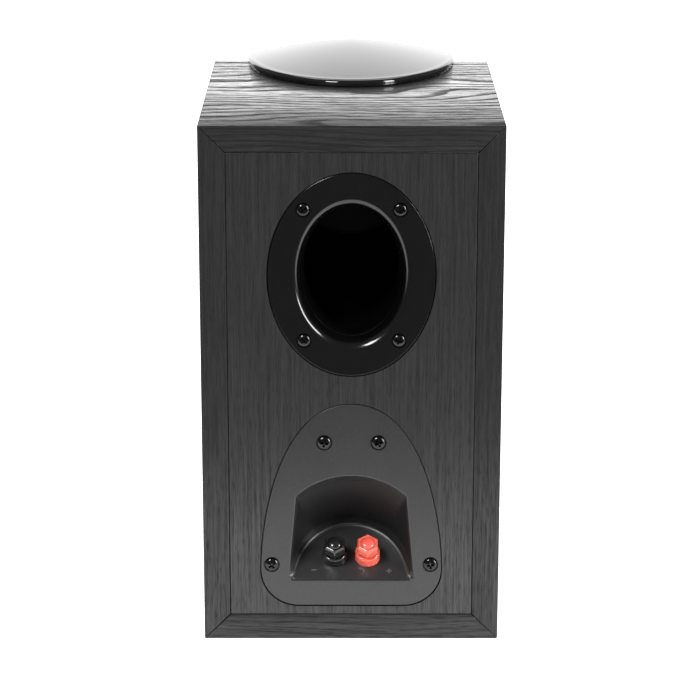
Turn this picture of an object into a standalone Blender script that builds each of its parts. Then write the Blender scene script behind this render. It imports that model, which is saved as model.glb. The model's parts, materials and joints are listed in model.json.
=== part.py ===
"""Two-way bookshelf speaker.

A mitred black-ash cabinet with a moulded front that rises in an arch over the top, a cloth grille on
pegs, a woofer, a tweeter in a waveguide, a flared elliptical port and a recessed terminal cup with two
binding posts at the back, and the crossover, its cables and the wadding inside.

Metres, +Z up. The front faces -Y, and the origin is the middle of the whole speaker's footprint.
"""
from math import cos, pi, radians, sin

import bmesh
import bpy
from mathutils import Matrix, Vector

# ---- Driving dimensions -------------------------------------------------------------------------
WIDTH = 0.170
HEIGHT = 0.303
DEPTH = 0.203               # cabinet alone, back face to front edge
BOARD = 0.015               # thickness of every cabinet board
GAP = 0.0003                # left between pieces that touch

FASCIA = 0.008              # moulded front
FASCIA_INSET = 0.0015       # how far it stays inside the cabinet's outline
GRILLE = 0.010              # cloth face to the back of the grille frame
HEAD_PROUD = 0.0015         # cup screw heads past the back face

TOTAL_DEPTH = HEAD_PROUD + DEPTH + GAP + FASCIA + GAP + GRILLE
BACK_Y = TOTAL_DEPTH / 2 - HEAD_PROUD
FRONT_Y = BACK_Y - DEPTH
FASCIA_FRONT_Y = FRONT_Y - GAP - FASCIA
GRILLE_BACK_Y = FASCIA_FRONT_Y - GAP

ARCH_HALF = 0.064           # half width of the arch over the top
ARCH_RISE = 0.0133          # its height over the cabinet's top, in the middle
ARCH_SWEEP = 0.0905         # how far the cap reaches back from the front edge
ARCH_RIM = 0.004            # height of the cap's rim

WOOFER_Z = 0.098
WOOFER_FRAME = 0.0665       # radii
WOOFER_CUTOUT = 0.059
TWEETER_Z = 0.231
TWEETER_FACE = 0.0445
TWEETER_CUTOUT = 0.037

PORT_Z = 0.2179
PORT_FLANGE = (0.0471, 0.0585)      # half width and half height of its ellipses
PORT_MOUTH = (0.0329, 0.0437)
PORT_THROAT = (0.0270, 0.0365)
PORT_DEEP = 0.118
PORT_SCREWS = [(-0.027, 0.2556), (0.027, 0.2556), (-0.0267, 0.1802), (0.0267, 0.1802)]

CUP_TOP = 0.1427            # top and bottom of the cup's flange
CUP_FOOT = 0.0206
CUP_HALF = 0.0520
CUP_CORNER = 0.022
CUP_SCREWS = [(-0.0154, 0.11975), (0.0154, 0.11975), (-0.0457, 0.0458), (0.0457, 0.0458)]
FLANGE = 0.003              # thickness of both flanges

SHELF_FRONT = 0.0365        # height of the recess floor at the back face
SHELF_SLOPE = radians(36.5)
SHELF_HALF = 0.0335
SHELF_LONG = 0.0387         # along the slope
POST_OUT = 0.016            # posts' distance up the slope
POST_SPACING = 0.019

# ---- Scene and materials ------------------------------------------------------------------------
for old in list(bpy.data.objects):
    bpy.data.objects.remove(old)
SPEAKER = bpy.data.collections.new("bookshelf_speaker")
CUTTERS = bpy.data.collections.new("cutters")
bpy.context.scene.collection.children.link(SPEAKER)
bpy.context.scene.collection.children.link(CUTTERS)


def material(name, colour, roughness, metallic=0.0):
    made = bpy.data.materials.new(name)
    made.use_nodes = True
    shader = made.node_tree.nodes["Principled BSDF"]
    shader.inputs["Base Color"].default_value = (*colour, 1.0)
    shader.inputs["Roughness"].default_value = roughness
    shader.inputs["Metallic"].default_value = metallic
    return made


BLACK_ASH = material("black_ash", (0.022, 0.022, 0.023), 0.5)
MDF = material("mdf", (0.42, 0.30, 0.18), 0.8)
GLOSS_BLACK = material("gloss_black", (0.008, 0.008, 0.009), 0.08)
SATIN_BLACK = material("satin_black", (0.012, 0.012, 0.013), 0.3)
TEXTURED_BLACK = material("textured_black", (0.05, 0.05, 0.05), 0.6)
SCREW_BLACK = material("screw_black", (0.03, 0.03, 0.03), 0.25, 1.0)
RED = material("post_red", (0.85, 0.06, 0.03), 0.15)
POST_BLACK = material("post_black", (0.01, 0.01, 0.01), 0.12)
NICKEL = material("nickel", (0.75, 0.72, 0.66), 0.25, 1.0)
STEEL = material("zinc_steel", (0.55, 0.56, 0.58), 0.35, 1.0)
FERRITE = material("ferrite", (0.05, 0.05, 0.055), 0.6)
CONE_PULP = material("cone_pulp", (0.03, 0.03, 0.032), 0.55)
RUBBER = material("rubber", (0.015, 0.015, 0.015), 0.6)
AMBER = material("spider_cloth", (0.55, 0.33, 0.10), 0.8)
COPPER = material("copper", (0.70, 0.30, 0.14), 0.3, 1.0)
SILK = material("silk", (0.02, 0.02, 0.022), 0.45)
CLOTH = material("grille_cloth", (0.012, 0.012, 0.012), 0.95)
CIRCUIT_BOARD = material("circuit_board", (0.02, 0.16, 0.07), 0.45)
FILM = material("capacitor_film", (0.75, 0.55, 0.08), 0.35)
CERAMIC = material("cement", (0.80, 0.78, 0.72), 0.8)
CABLE = material("cable", (0.02, 0.02, 0.02), 0.45)
WADDING = material("wadding", (0.80, 0.80, 0.78), 0.95)

OUT_FRONT = Matrix.Rotation(radians(90), 4, "X")     # local +Z points out of the front
OUT_BACK = Matrix.Rotation(radians(-90), 4, "X")     # local +Z points out of the back
UP = Matrix.Identity(4)


def add(name, mesh, finish, place=UP):
    piece = bpy.data.objects.new(name, mesh)
    piece.data.materials.append(finish)
    piece.matrix_world = place
    SPEAKER.objects.link(piece)
    return piece


def front_place(z, y=FRONT_Y, x=0.0):
    return Matrix.Translation((x, y, z)) @ OUT_FRONT


def back_place(z, y=BACK_Y, x=0.0):
    return Matrix.Translation((x, y, z)) @ OUT_BACK


# ---- Shapes -------------------------------------------------------------------------------------
def rectangle(left, low, right, high):
    return [(left, low), (right, low), (right, high), (left, high)]


def arc(middle, radii, start, end, steps):
    turns = [radians(start + (end - start) * i / steps) for i in range(steps + 1)]
    return [(middle[0] + radii[0] * cos(t), middle[1] + radii[1] * sin(t)) for t in turns]


def ellipse(middle, radii, steps=40):
    return arc(middle, radii, 0, 360, steps)[:-1]


def rounded(left, low, right, high, radius, steps=4):
    corners = [(right - radius, low + radius, -90), (right - radius, high - radius, 0),
               (left + radius, high - radius, 90), (left + radius, low + radius, 180)]
    outline = []
    for x, z, start in corners:
        outline += arc((x, z), (radius, radius), start, start + 90, steps)
    return outline


def bezier(p0, p1, p2, p3, steps):
    outline = []
    for i in range(steps):
        t = i / steps
        weights = ((1 - t) ** 3, 3 * t * (1 - t) ** 2, 3 * t * t * (1 - t), t ** 3)
        outline.append(tuple(sum(w * p[k] for w, p in zip(weights, (p0, p1, p2, p3))) for k in (0, 1)))
    return outline


def welded(piece):
    """A mesh of a curve object, its caps joined to its sides."""
    graph = bpy.context.evaluated_depsgraph_get()
    mesh = bpy.data.meshes.new_from_object(piece.evaluated_get(graph))
    shape = bmesh.new()
    shape.from_mesh(mesh)
    bmesh.ops.remove_doubles(shape, verts=shape.verts, dist=1e-6)
    bmesh.ops.recalc_face_normals(shape, faces=shape.faces)
    shape.to_mesh(mesh)
    shape.free()
    return mesh


def sawn(outlines, low, high, lying=False):
    """A flat board between two planes: outlines in X and Z, or in X and Y when it lies."""
    flat = bpy.data.curves.new("outline", "CURVE")
    flat.dimensions = "2D"
    flat.fill_mode = "BOTH"
    flat.extrude = (high - low) / 2
    for outline in outlines:
        spline = flat.splines.new("POLY")
        spline.points.add(len(outline) - 1)
        for point, (across, along) in zip(spline.points, outline):
            point.co = (across, along, 0, 1)
        spline.use_cyclic_u = True
    guide = bpy.data.objects.new("outline", flat)
    bpy.context.scene.collection.objects.link(guide)
    mesh = welded(guide)
    bpy.data.objects.remove(guide)
    middle = (low + high) / 2
    if lying:
        mesh.transform(Matrix.Translation((0, 0, middle)))
    else:
        mesh.transform(Matrix.Translation((0, middle, 0)) @ OUT_FRONT)
    return mesh


def board(name, outlines, low, high, finish, lying=False):
    return add(name, sawn(outlines, low, high, lying), finish)


def lofted(rings, ring_loop=False):
    """A closed mesh through rings of points: capped at both ends, or joined end to end."""
    shape = bmesh.new()
    rows = [[shape.verts.new(point) for point in ring] for ring in rings]
    count = len(rows[0])
    pairs = list(zip(rows, rows[1:])) + ([(rows[-1], rows[0])] if ring_loop else [])
    for lower, upper in pairs:
        for i in range(count):
            j = (i + 1) % count
            shape.faces.new((lower[i], lower[j], upper[j], upper[i]))
    if not ring_loop:
        shape.faces.new(rows[0])
        shape.faces.new(rows[-1])
    bmesh.ops.recalc_face_normals(shape, faces=shape.faces)
    mesh = bpy.data.meshes.new("loft")
    shape.to_mesh(mesh)
    shape.free()
    return mesh


def turned(name, profile, finish, place, ring=False, steps=30):
    """A piece turned about its local Z: the profile runs down its outer side."""
    mesh = bpy.data.meshes.new(name)
    count = len(profile)
    edges = [(i, i + 1) for i in range(count - 1)] + ([(count - 1, 0)] if ring else [])
    mesh.from_pydata([(radius, 0, height) for radius, height in profile], edges, [])
    piece = add(name, mesh, finish, place)
    screw = piece.modifiers.new("turn", "SCREW")
    screw.steps = screw.render_steps = steps
    screw.use_merge_vertices = True
    screw.merge_threshold = 0.00001
    return piece


def hide(cutter):
    for group in list(cutter.users_collection):
        group.objects.unlink(cutter)
    CUTTERS.objects.link(cutter)
    cutter.hide_render = True
    cutter.display_type = "WIRE"
    return cutter


def cutter(name, mesh, place=UP):
    return hide(add(name, mesh, MDF, place))


def cut(piece, *tools, operation="DIFFERENCE"):
    for tool in tools:
        boolean = piece.modifiers.new(tool.name, "BOOLEAN")
        boolean.operation = operation
        boolean.object = tool


def drills(name, places, radius, low, high, steps=10):
    """One cutter with a straight drill along Y at each (x, z)."""
    shape = bmesh.new()
    for x, z in places:
        spot = Matrix.Translation((x, (low + high) / 2, z)) @ OUT_FRONT
        bmesh.ops.create_cone(shape, cap_ends=True, segments=steps, radius1=radius, radius2=radius,
                              depth=high - low, matrix=spot)
    mesh = bpy.data.meshes.new(name)
    shape.to_mesh(mesh)
    shape.free()
    return cutter(name, mesh)


def block(name, low, high, finish, bevel=0.0):
    shape = bmesh.new()
    bmesh.ops.create_cube(shape, size=1)
    size = [b - a for a, b in zip(low, high)]
    middle = [(a + b) / 2 for a, b in zip(low, high)]
    bmesh.ops.scale(shape, vec=size, verts=shape.verts)
    bmesh.ops.translate(shape, vec=middle, verts=shape.verts)
    if bevel:
        bmesh.ops.bevel(shape, geom=shape.edges[:], offset=bevel, segments=1, affect="EDGES")
    mesh = bpy.data.meshes.new(name)
    shape.to_mesh(mesh)
    shape.free()
    return add(name, mesh, finish)


def cable(name, route, radius, finish, legs=2):
    """A cable on a smooth curve through the points of its route."""
    ends = [route[0]] + route + [route[-1]]
    points = []
    for a, b, c, d in zip(ends, ends[1:], ends[2:], ends[3:]):
        for i in range(legs):
            t = i / legs
            points.append([0.5 * (2 * q + (r - p) * t + (2 * p - 5 * q + 4 * r - s) * t * t
                                  + (3 * q - p - 3 * r + s) * t ** 3) for p, q, r, s in zip(a, b, c, d)])
    points.append(route[-1])
    line = bpy.data.curves.new(name, "CURVE")
    line.dimensions = "3D"
    line.bevel_depth = radius
    line.bevel_resolution = 2
    line.use_fill_caps = True
    spline = line.splines.new("POLY")
    spline.points.add(len(points) - 1)
    for point, place in zip(spline.points, points):
        point.co = (*place, 1)
    return add(name, line, finish)


# ---- Cabinet ------------------------------------------------------------------------------------
# The four outer boards are mitred at their corners; each mitre leaves a hair line.
HALF = WIDTH / 2
INNER = HALF - BOARD
MITRE = GAP / 2


def mitred(low, high, inner_low, inner_high):
    """A mitred board's section, from the ends of its outer side and of its inner side."""
    return [low, high, inner_high, inner_low]


board("top_panel", [mitred((-HALF + MITRE, HEIGHT), (HALF - MITRE, HEIGHT),
                           (-INNER + MITRE, HEIGHT - BOARD), (INNER - MITRE, HEIGHT - BOARD))],
      FRONT_Y, BACK_Y, BLACK_ASH)
board("bottom_panel", [mitred((-HALF + MITRE, 0), (HALF - MITRE, 0),
                              (-INNER + MITRE, BOARD), (INNER - MITRE, BOARD))],
      FRONT_Y, BACK_Y, BLACK_ASH)
for side, name in ((-1, "side_panel_left"), (1, "side_panel_right")):
    board(name, [mitred((side * HALF, MITRE), (side * HALF, HEIGHT - MITRE),
                        (side * INNER, BOARD + MITRE), (side * INNER, HEIGHT - BOARD - MITRE))],
          FRONT_Y, BACK_Y, BLACK_ASH)

INSIDE = rectangle(-INNER + GAP, BOARD + GAP, INNER - GAP, HEIGHT - BOARD - GAP)
rear_panel = board("rear_panel", [INSIDE], BACK_Y - BOARD, BACK_Y, BLACK_ASH)
front_baffle = board("front_baffle", [INSIDE], FRONT_Y, FRONT_Y + BOARD, MDF)

# The brace is a shelf with a window, between the woofer and the port.
BRACE_Z = 0.160
BRACE = 0.012
board("cabinet_brace", [rectangle(-INNER + GAP, FRONT_Y + BOARD + GAP, INNER - GAP, BACK_Y - BOARD - GAP),
                        rounded(-0.055, FRONT_Y + 0.034, 0.055, BACK_Y - 0.040, 0.012)],
      BRACE_Z, BRACE_Z + BRACE, MDF, lying=True)

# One sheet of wadding lines both sides and the underside of the brace.
WAD = 0.009
WAD_X = INNER - GAP
WAD_TOP = BRACE_Z - GAP
WAD_FOOT = 0.030
board("acoustic_wadding",
      [[(-WAD_X, WAD_FOOT), (-WAD_X + WAD, WAD_FOOT), (-WAD_X + WAD, WAD_TOP - WAD),
        (WAD_X - WAD, WAD_TOP - WAD), (WAD_X - WAD, WAD_FOOT), (WAD_X, WAD_FOOT), (WAD_X, WAD_TOP),
        (-WAD_X, WAD_TOP)]],
      FRONT_Y + 0.055, BACK_Y - 0.030, WADDING)


# ---- Moulded front and the cap behind its arch --------------------------------------------------
def arch_height(part):
    """Height over the cabinet's top at a part, 0 to 1, of the arch's half width."""
    return ARCH_RISE - (ARCH_RISE - ARCH_RIM) * abs(part) ** 1.7


def front_outline(inset, corner=0.004, steps=12):
    """The front's outline: a rounded rectangle whose top edge rises in the arch."""
    side = HALF - inset
    low = inset
    high = HEIGHT - inset
    half = ARCH_HALF - (inset - FASCIA_INSET)
    drop = inset - FASCIA_INSET
    crown = [(half * part, HEIGHT + arch_height(part) - drop)
             for part in [0.985 * (1 - 2 * i / steps) for i in range(steps + 1)]]
    foot = [(half, HEIGHT + ARCH_RIM / 2 - drop), (half, high)]
    return (arc((side - corner, low + corner), (corner, corner), -90, 0, 4)
            + arc((side - corner, high - corner), (corner, corner), 0, 90, 4)
            + foot[::-1] + crown + [(-x, z) for x, z in foot]
            + arc((-side + corner, high - corner), (corner, corner), 90, 180, 4)
            + arc((-side + corner, low + corner), (corner, corner), 180, 270, 4))


PEGS = [(-0.072, 0.022), (0.072, 0.022), (-0.072, 0.281), (0.072, 0.281)]
front_fascia = board("front_fascia",
                     [front_outline(FASCIA_INSET), ellipse((0, WOOFER_Z), (WOOFER_FRAME + GAP,) * 2),
                      ellipse((0, TWEETER_Z), (TWEETER_FACE + GAP,) * 2, 40)],
                     FASCIA_FRONT_Y, FRONT_Y - GAP, GLOSS_BLACK)
PEG_R = 0.0026
cut(front_fascia, drills("peg_holes", PEGS, PEG_R + 0.0004, FASCIA_FRONT_Y - 0.001, FRONT_Y - 0.0011))

# The cap is half of a turned dome, drawn out towards the back.
CROWN = [(ARCH_HALF * part, arch_height(part)) for part in (0, 0.18, 0.36, 0.54, 0.70, 0.84, 0.94)]
RIM = [(ARCH_HALF * 0.98, 0.0040), (ARCH_HALF * 0.995, 0.0030), (ARCH_HALF, 0.0015), (ARCH_HALF, GAP),
       (0, GAP)]
STRETCH = Matrix.Diagonal((1, ARCH_SWEEP / ARCH_HALF, 1, 1))
top_cap = turned("top_cap", CROWN + RIM, GLOSS_BLACK,
                 Matrix.Translation((0, FRONT_Y, HEIGHT)) @ STRETCH, steps=40)
ahead = block("ahead_of_front", (-0.1, FRONT_Y - 0.1, HEIGHT - 0.01), (0.1, FRONT_Y, HEIGHT + 0.05), MDF)
cut(top_cap, hide(ahead))

# ---- Grille -------------------------------------------------------------------------------------
CLOTH_INSET = 0.0055
CLOTH_T = 0.0008
FRAME_INSET = CLOTH_INSET + CLOTH_T + GAP
RAIL = 0.009
GRILLE_FRONT_Y = GRILLE_BACK_Y - GRILLE
frame_window = HALF - FRAME_INSET - RAIL
grille_frame = board("grille_frame",
                     [front_outline(FRAME_INSET),
                      rounded(-frame_window, 0.018, frame_window, 0.169, 0.010),
                      rounded(-frame_window, 0.179, frame_window, 0.287, 0.010)],
                     GRILLE_FRONT_Y + CLOTH_T + GAP, GRILLE_BACK_Y, SATIN_BLACK)
PEG_LONG = 0.0062
cut(grille_frame, drills("pegs", PEGS, PEG_R, GRILLE_BACK_Y - 0.003, GRILLE_BACK_Y + PEG_LONG),
    operation="UNION")
grille_cloth = board("grille_cloth", [front_outline(CLOTH_INSET)],
                     GRILLE_FRONT_Y, GRILLE_BACK_Y - 0.0008, CLOTH)
cut(grille_cloth, cutter("cloth_inside", sawn([front_outline(CLOTH_INSET + CLOTH_T)],
                                              GRILLE_FRONT_Y + CLOTH_T, GRILLE_BACK_Y + 0.005)))


# ---- Screws -------------------------------------------------------------------------------------
def screw(name, place, head, long, shank=0.0015):
    """A pan-head wood screw; its local origin is under the head."""
    profile = [(0, 0.55 * head), (0.5 * head, 0.52 * head), (0.82 * head, 0.38 * head), (head, 0.12 * head),
               (head, 0), (shank, 0), (shank, 0.002 - long), (0, -long)]
    return turned(name, profile, SCREW_BLACK, place, steps=12)


HOLE = 0.0019               # pilot and clearance holes

# ---- Woofer -------------------------------------------------------------------------------------
# Heights are measured out of the front of the baffle.
WOOFER = front_place(WOOFER_Z)
basket = turned("woofer_basket",
                [(0.0565, 0.0040), (WOOFER_FRAME, 0.0040), (WOOFER_FRAME, GAP), (0.0584, GAP),
                 (0.0580, -0.004),
                 (0.0462, -0.026), (0.0462, -0.032), (0.0390, -0.038), (0.0250, -0.038), (0.0250, -0.036),
                 (0.0375, -0.036), (0.0395, -0.030), (0.0437, -0.030), (0.0437, -0.026), (0.0565, -0.0035)],
                STEEL, WOOFER, ring=True)
windows = bmesh.new()
for i in range(6):
    turn = Matrix.Rotation(radians(60 * i), 4, "Z")
    hole = bmesh.ops.create_cube(windows, size=1)["verts"]
    bmesh.ops.scale(windows, vec=(0.030, 0.036, 0.0165), verts=hole)
    bmesh.ops.translate(windows, vec=(0.055, 0, -0.0142), verts=hole)
    bmesh.ops.transform(windows, matrix=turn, verts=hole)
window_mesh = bpy.data.meshes.new("basket_windows")
windows.to_mesh(window_mesh)
windows.free()
cut(basket, cutter("basket_windows", window_mesh, WOOFER))

ROLL_OUT = 0.0560
ROLL_IN = 0.0490
ROLL = (ROLL_OUT - ROLL_IN) / 2
RUBBER_T = 0.0007
roll_top = arc(((ROLL_OUT + ROLL_IN) / 2, 0.0050), (ROLL, ROLL), 180, 0, 5)
roll_under = arc(((ROLL_OUT + ROLL_IN) / 2, 0.0043), (ROLL - RUBBER_T,) * 2, 0, 180, 5)
turned("woofer_surround",
       [(0.0462, 0.0050)] + roll_top + [(0.0594, 0.0050), (0.0594, 0.0043)] + roll_under + [(0.0462, 0.0043)],
       RUBBER, WOOFER, ring=True)
turned("woofer_cone",
       [(0.0462, 0.0040), (0.0488, 0.0040), (0.0488, 0.0035), (0.0464, 0.0034), (0.0330, -0.0090),
        (0.0173, -0.0190), (0.0168, -0.0186), (0.0325, -0.0085)], CONE_PULP, WOOFER, ring=True)
cap_arc = arc((0, -0.0445), (0.0345, 0.0345), 90, 56.6, 3)
cap_back = arc((0, -0.0445), (0.0340, 0.0340), 56.6, 90, 3)
turned("woofer_dust_cap", [(0, cap_arc[0][1])] + cap_arc[1:] + cap_back[:-1] + [(0, cap_back[-1][1])],
       CONE_PULP, WOOFER, steps=20)
COIL_TOP = -0.0172
turned("woofer_voice_coil", [(0.0158, COIL_TOP), (0.0163, COIL_TOP), (0.0163, -0.047), (0.0158, -0.047)],
       COPPER, WOOFER, ring=True, steps=28)
waves = [(0.0225 + 0.0033 * i, -0.0282 - 0.0014 * (i % 2)) for i in range(5)]
spider_top = [(0.0167, -0.0290)] + waves + [(0.0390, -0.0290), (0.0434, -0.0290)]
turned("woofer_spider", spider_top + [(radius, height - 0.0006) for radius, height in reversed(spider_top)],
       AMBER, WOOFER, ring=True, steps=22)
turned("woofer_top_plate", [(0.0170, -0.0383), (0.0360, -0.0383), (0.0360, -0.0433), (0.0170, -0.0433)],
       STEEL, WOOFER, ring=True)
turned("woofer_magnet", [(0.0220, -0.0436), (0.0412, -0.0436), (0.0420, -0.0444), (0.0420, -0.0578),
                         (0.0412, -0.0586), (0.0220, -0.0586)], FERRITE, WOOFER, ring=True)
turned("woofer_yoke", [(0.0040, -0.0383), (0.0152, -0.0383), (0.0152, -0.0589), (0.0370, -0.0589),
                       (0.0370, -0.0639), (0.0040, -0.0639)], STEEL, WOOFER, ring=True)
WOOFER_SCREWS = [(0.0630 * cos(t), WOOFER_Z + 0.0630 * sin(t))
                 for t in (pi / 4, 3 * pi / 4, 5 * pi / 4, 7 * pi / 4)]
for i, (x, z) in enumerate(WOOFER_SCREWS):
    screw(f"woofer_screw_{i + 1}", front_place(z, FRONT_Y - 0.0040 - GAP, x), 0.0030, 0.0155)
cut(basket, drills("basket_holes", WOOFER_SCREWS, HOLE, FRONT_Y - 0.006, FRONT_Y + 0.002))

# ---- Tweeter ------------------------------------------------------------------------------------
TWEETER = front_place(TWEETER_Z)
throat = arc((0.0420, 0.0030 - 0.0050), (0.0262, 0.0100), 180, 90, 5)
faceplate = turned("tweeter_faceplate",
                   throat + [(TWEETER_FACE, 0.0080), (TWEETER_FACE, GAP), (0.0365, GAP), (0.0340, -0.0040),
                             (0.0220, -0.0090), (0.0158, -0.0090)], SATIN_BLACK, TWEETER, ring=True, steps=32)
TWEETER_SCREWS = [(-0.0405, TWEETER_Z), (0.0405, TWEETER_Z)]
cut(faceplate, drills("faceplate_holes", TWEETER_SCREWS, HOLE, FASCIA_FRONT_Y - 0.002, FRONT_Y + 0.002),
    drills("faceplate_counterbores", TWEETER_SCREWS, 0.0029, FASCIA_FRONT_Y - 0.002, FRONT_Y - 0.0055))
for i, (x, z) in enumerate(TWEETER_SCREWS):
    screw(f"tweeter_screw_{i + 1}", front_place(z, FRONT_Y - 0.0055 - GAP, x), 0.0025, 0.0155)
turned("tweeter_surround", [(0.0131, -0.0088), (0.0140, -0.0079), (0.0151, -0.0084), (0.0156, -0.0093),
                            (0.0190, -0.0093), (0.0190, -0.0098), (0.0153, -0.0098), (0.0147, -0.0089),
                            (0.0140, -0.0084), (0.0134, -0.0093)], SILK, TWEETER, ring=True, steps=20)
dome_out = arc((0, -0.0193), (0.0163, 0.0163), 90, 40, 3)
dome_in = arc((0, -0.0193), (0.0159, 0.0159), 40, 90, 3)
turned("tweeter_dome",
       [(0, dome_out[0][1])] + dome_out[1:] + [(0.0127, -0.0128), (0.0123, -0.0128)] + dome_in[:-1]
       + [(0, dome_in[-1][1])], SILK, TWEETER, steps=24)
turned("tweeter_top_plate", [(0.0134, -0.0101), (0.0300, -0.0101), (0.0300, -0.0131), (0.0134, -0.0131)],
       STEEL, TWEETER, ring=True)
turned("tweeter_magnet", [(0.0160, -0.0134), (0.0335, -0.0134), (0.0340, -0.0139), (0.0340, -0.0229),
                          (0.0335, -0.0234), (0.0160, -0.0234)], FERRITE, TWEETER, ring=True)
turned("tweeter_yoke", [(0.0030, -0.0104), (0.0117, -0.0104), (0.0117, -0.0237), (0.0310, -0.0237),
                        (0.0310, -0.0277), (0.0030, -0.0277)], STEEL, TWEETER, ring=True)

cut(front_baffle,
    cutter("woofer_cutout", sawn([ellipse((0, WOOFER_Z), (WOOFER_CUTOUT,) * 2)],
                                 FRONT_Y - 0.01, FRONT_Y + BOARD + 0.01)),
    cutter("tweeter_cutout", sawn([ellipse((0, TWEETER_Z), (TWEETER_CUTOUT,) * 2, 40)],
                                  FRONT_Y - 0.01, FRONT_Y + BOARD + 0.01)),
    drills("driver_pilots", WOOFER_SCREWS + TWEETER_SCREWS, HOLE, FRONT_Y - 0.01, FRONT_Y + 0.0125))

# ---- Port ---------------------------------------------------------------------------------------
# Each ring of the flare is an ellipse; depths are from the back face inwards.
FLANGE_Y = BACK_Y - GAP     # outer face of both flanges
REBATE = GAP + FLANGE + GAP
PORT_WALL = 0.0022


def oval(radii, depth, steps=36):
    return [(x, BACK_Y - depth, z) for x, z in ellipse((0, PORT_Z), radii, steps)]


def between(a, b, part):
    return tuple(p + (q - p) * part for p, q in zip(a, b))


def wider(radii, extra):
    return tuple(r + extra for r in radii)


FLARE_DEEP = 0.024
flare = []
for i in range(6):
    turn = radians(18 * i)
    flare.append(oval(between(PORT_MOUTH, PORT_THROAT, sin(turn)), GAP + FLARE_DEEP * (1 - cos(turn))))
SPIGOT = wider(PORT_THROAT, PORT_WALL)
flare += [oval(PORT_THROAT, 0.034), oval(SPIGOT, 0.034), oval(SPIGOT, 0.0215)]
flare += [oval(wider(PORT_MOUTH, 0.0004), 0.0100), oval(wider(PORT_MOUTH, PORT_WALL), GAP + FLANGE),
          oval(PORT_FLANGE, GAP + FLANGE), oval(PORT_FLANGE, GAP)]
port_flare = add("port_flare", lofted(flare, ring_loop=True), SATIN_BLACK)
TUBE_IN = wider(SPIGOT, GAP)
TUBE_OUT = wider(TUBE_IN, PORT_WALL)
add("port_tube", lofted([oval(TUBE_IN, 0.0225, 28), oval(TUBE_IN, PORT_DEEP, 28),
                         oval(TUBE_OUT, PORT_DEEP, 28),
                         oval(TUBE_OUT, 0.0225, 28)], ring_loop=True), SATIN_BLACK)
PORT_HEAD = 0.0037
SINK = 0.0012               # counterbores in the port's flange
cut(port_flare, drills("port_holes", PORT_SCREWS, HOLE, BACK_Y - 0.006, BACK_Y + 0.002),
    drills("port_counterbores", PORT_SCREWS, PORT_HEAD + 0.0005, FLANGE_Y - SINK, BACK_Y + 0.002, 16))
for i, (x, z) in enumerate(PORT_SCREWS):
    screw(f"port_screw_{i + 1}", back_place(z, FLANGE_Y - SINK + GAP, x), PORT_HEAD, 0.0130)


# ---- Terminal cup -------------------------------------------------------------------------------
def egg(grow=0.0):
    """The flange's outline: a rounded triangle on a flat foot."""
    half = CUP_HALF + grow
    low = CUP_FOOT - grow
    high = CUP_TOP + grow
    corner = CUP_CORNER + grow
    shoulder = low + corner
    right = (bezier((half, shoulder), (half, shoulder + 0.032), (0.0407, high), (0, high), 11))
    left = [(-x, z) for x, z in reversed(right)]
    return (arc((half - corner, shoulder), (corner, corner), -90, 0, 6)[:-1] + right + [(0, high)]
            + left + arc((corner - half, shoulder), (corner, corner), 180, 270, 6)[1:])


RECESS_TOP = 0.0996
RECESS_SHOULDER = (0.0314, 0.0872)
RECESS_FOOT = (0.0357, 0.0385)
rise = RECESS_TOP - RECESS_SHOULDER[1]
ARC_R = (RECESS_SHOULDER[0] ** 2 + rise ** 2) / (2 * rise)
SIDE_STEPS = 4
ROOF_STEPS = 10


def on_shelf(across, along, above=0.0):
    """A point on the recess floor: across X, up the slope, and off the floor at right angles."""
    return Vector((across, BACK_Y - along * cos(SHELF_SLOPE) + above * sin(SHELF_SLOPE),
                   SHELF_FRONT + along * sin(SHELF_SLOPE) + above * cos(SHELF_SLOPE)))


def recess(wall, mouth_y):
    """The recess: its walls run from its mouth in the flange to the half-ellipse of its floor."""
    centre_z = RECESS_TOP - ARC_R
    lean = (RECESS_FOOT[0] - RECESS_SHOULDER[0]) / (RECESS_SHOULDER[1] - RECESS_FOOT[1])
    side = [(RECESS_FOOT[0] - lean * (RECESS_SHOULDER[1] - RECESS_FOOT[1]) * i / SIDE_STEPS + wall,
             RECESS_FOOT[1] + (RECESS_SHOULDER[1] - RECESS_FOOT[1]) * i / SIDE_STEPS - (wall if i == 0 else 0))
            for i in range(SIDE_STEPS + 1)]
    roof = []
    for i in range(1, ROOF_STEPS):
        x = RECESS_SHOULDER[0] * (1 - 2 * i / ROOF_STEPS)
        roof.append((x * (1 + wall / ARC_R), centre_z + (ARC_R ** 2 - x ** 2) ** 0.5 + wall))
    mouth = side + roof + [(-x, z) for x, z in reversed(side)]
    count = len(mouth)
    outer = [Vector((x, mouth_y, z)) for x, z in mouth]
    inner = []
    for i in range(count):
        turn = pi * i / (count - 1)
        inner.append(on_shelf((SHELF_HALF + wall) * cos(turn), (SHELF_LONG + wall) * sin(turn), -wall))
    return lofted([outer, inner])


terminal_cup = add("terminal_cup", sawn([egg()], FLANGE_Y - FLANGE, FLANGE_Y), TEXTURED_BLACK)
CUP_WALL = 0.0022
cut(terminal_cup, cutter("cup_shell", recess(CUP_WALL, FLANGE_Y - 0.001)), operation="UNION")
cut(terminal_cup, cutter("cup_hollow", recess(0.0, BACK_Y + 0.0005)),
    drills("cup_holes", CUP_SCREWS, HOLE, BACK_Y - 0.006, BACK_Y + 0.002))
CUP_HEAD = 0.0040
for i, (x, z) in enumerate(CUP_SCREWS):
    screw(f"cup_screw_{i + 1}", back_place(z, BACK_Y + HEAD_PROUD - 0.55 * CUP_HEAD, x), CUP_HEAD, 0.0130)
cut(terminal_cup, drills("cup_dishes", CUP_SCREWS, CUP_HEAD + 0.0004,
                         BACK_Y + HEAD_PROUD - 0.55 * CUP_HEAD - GAP, BACK_Y + 0.002, 16))

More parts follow.
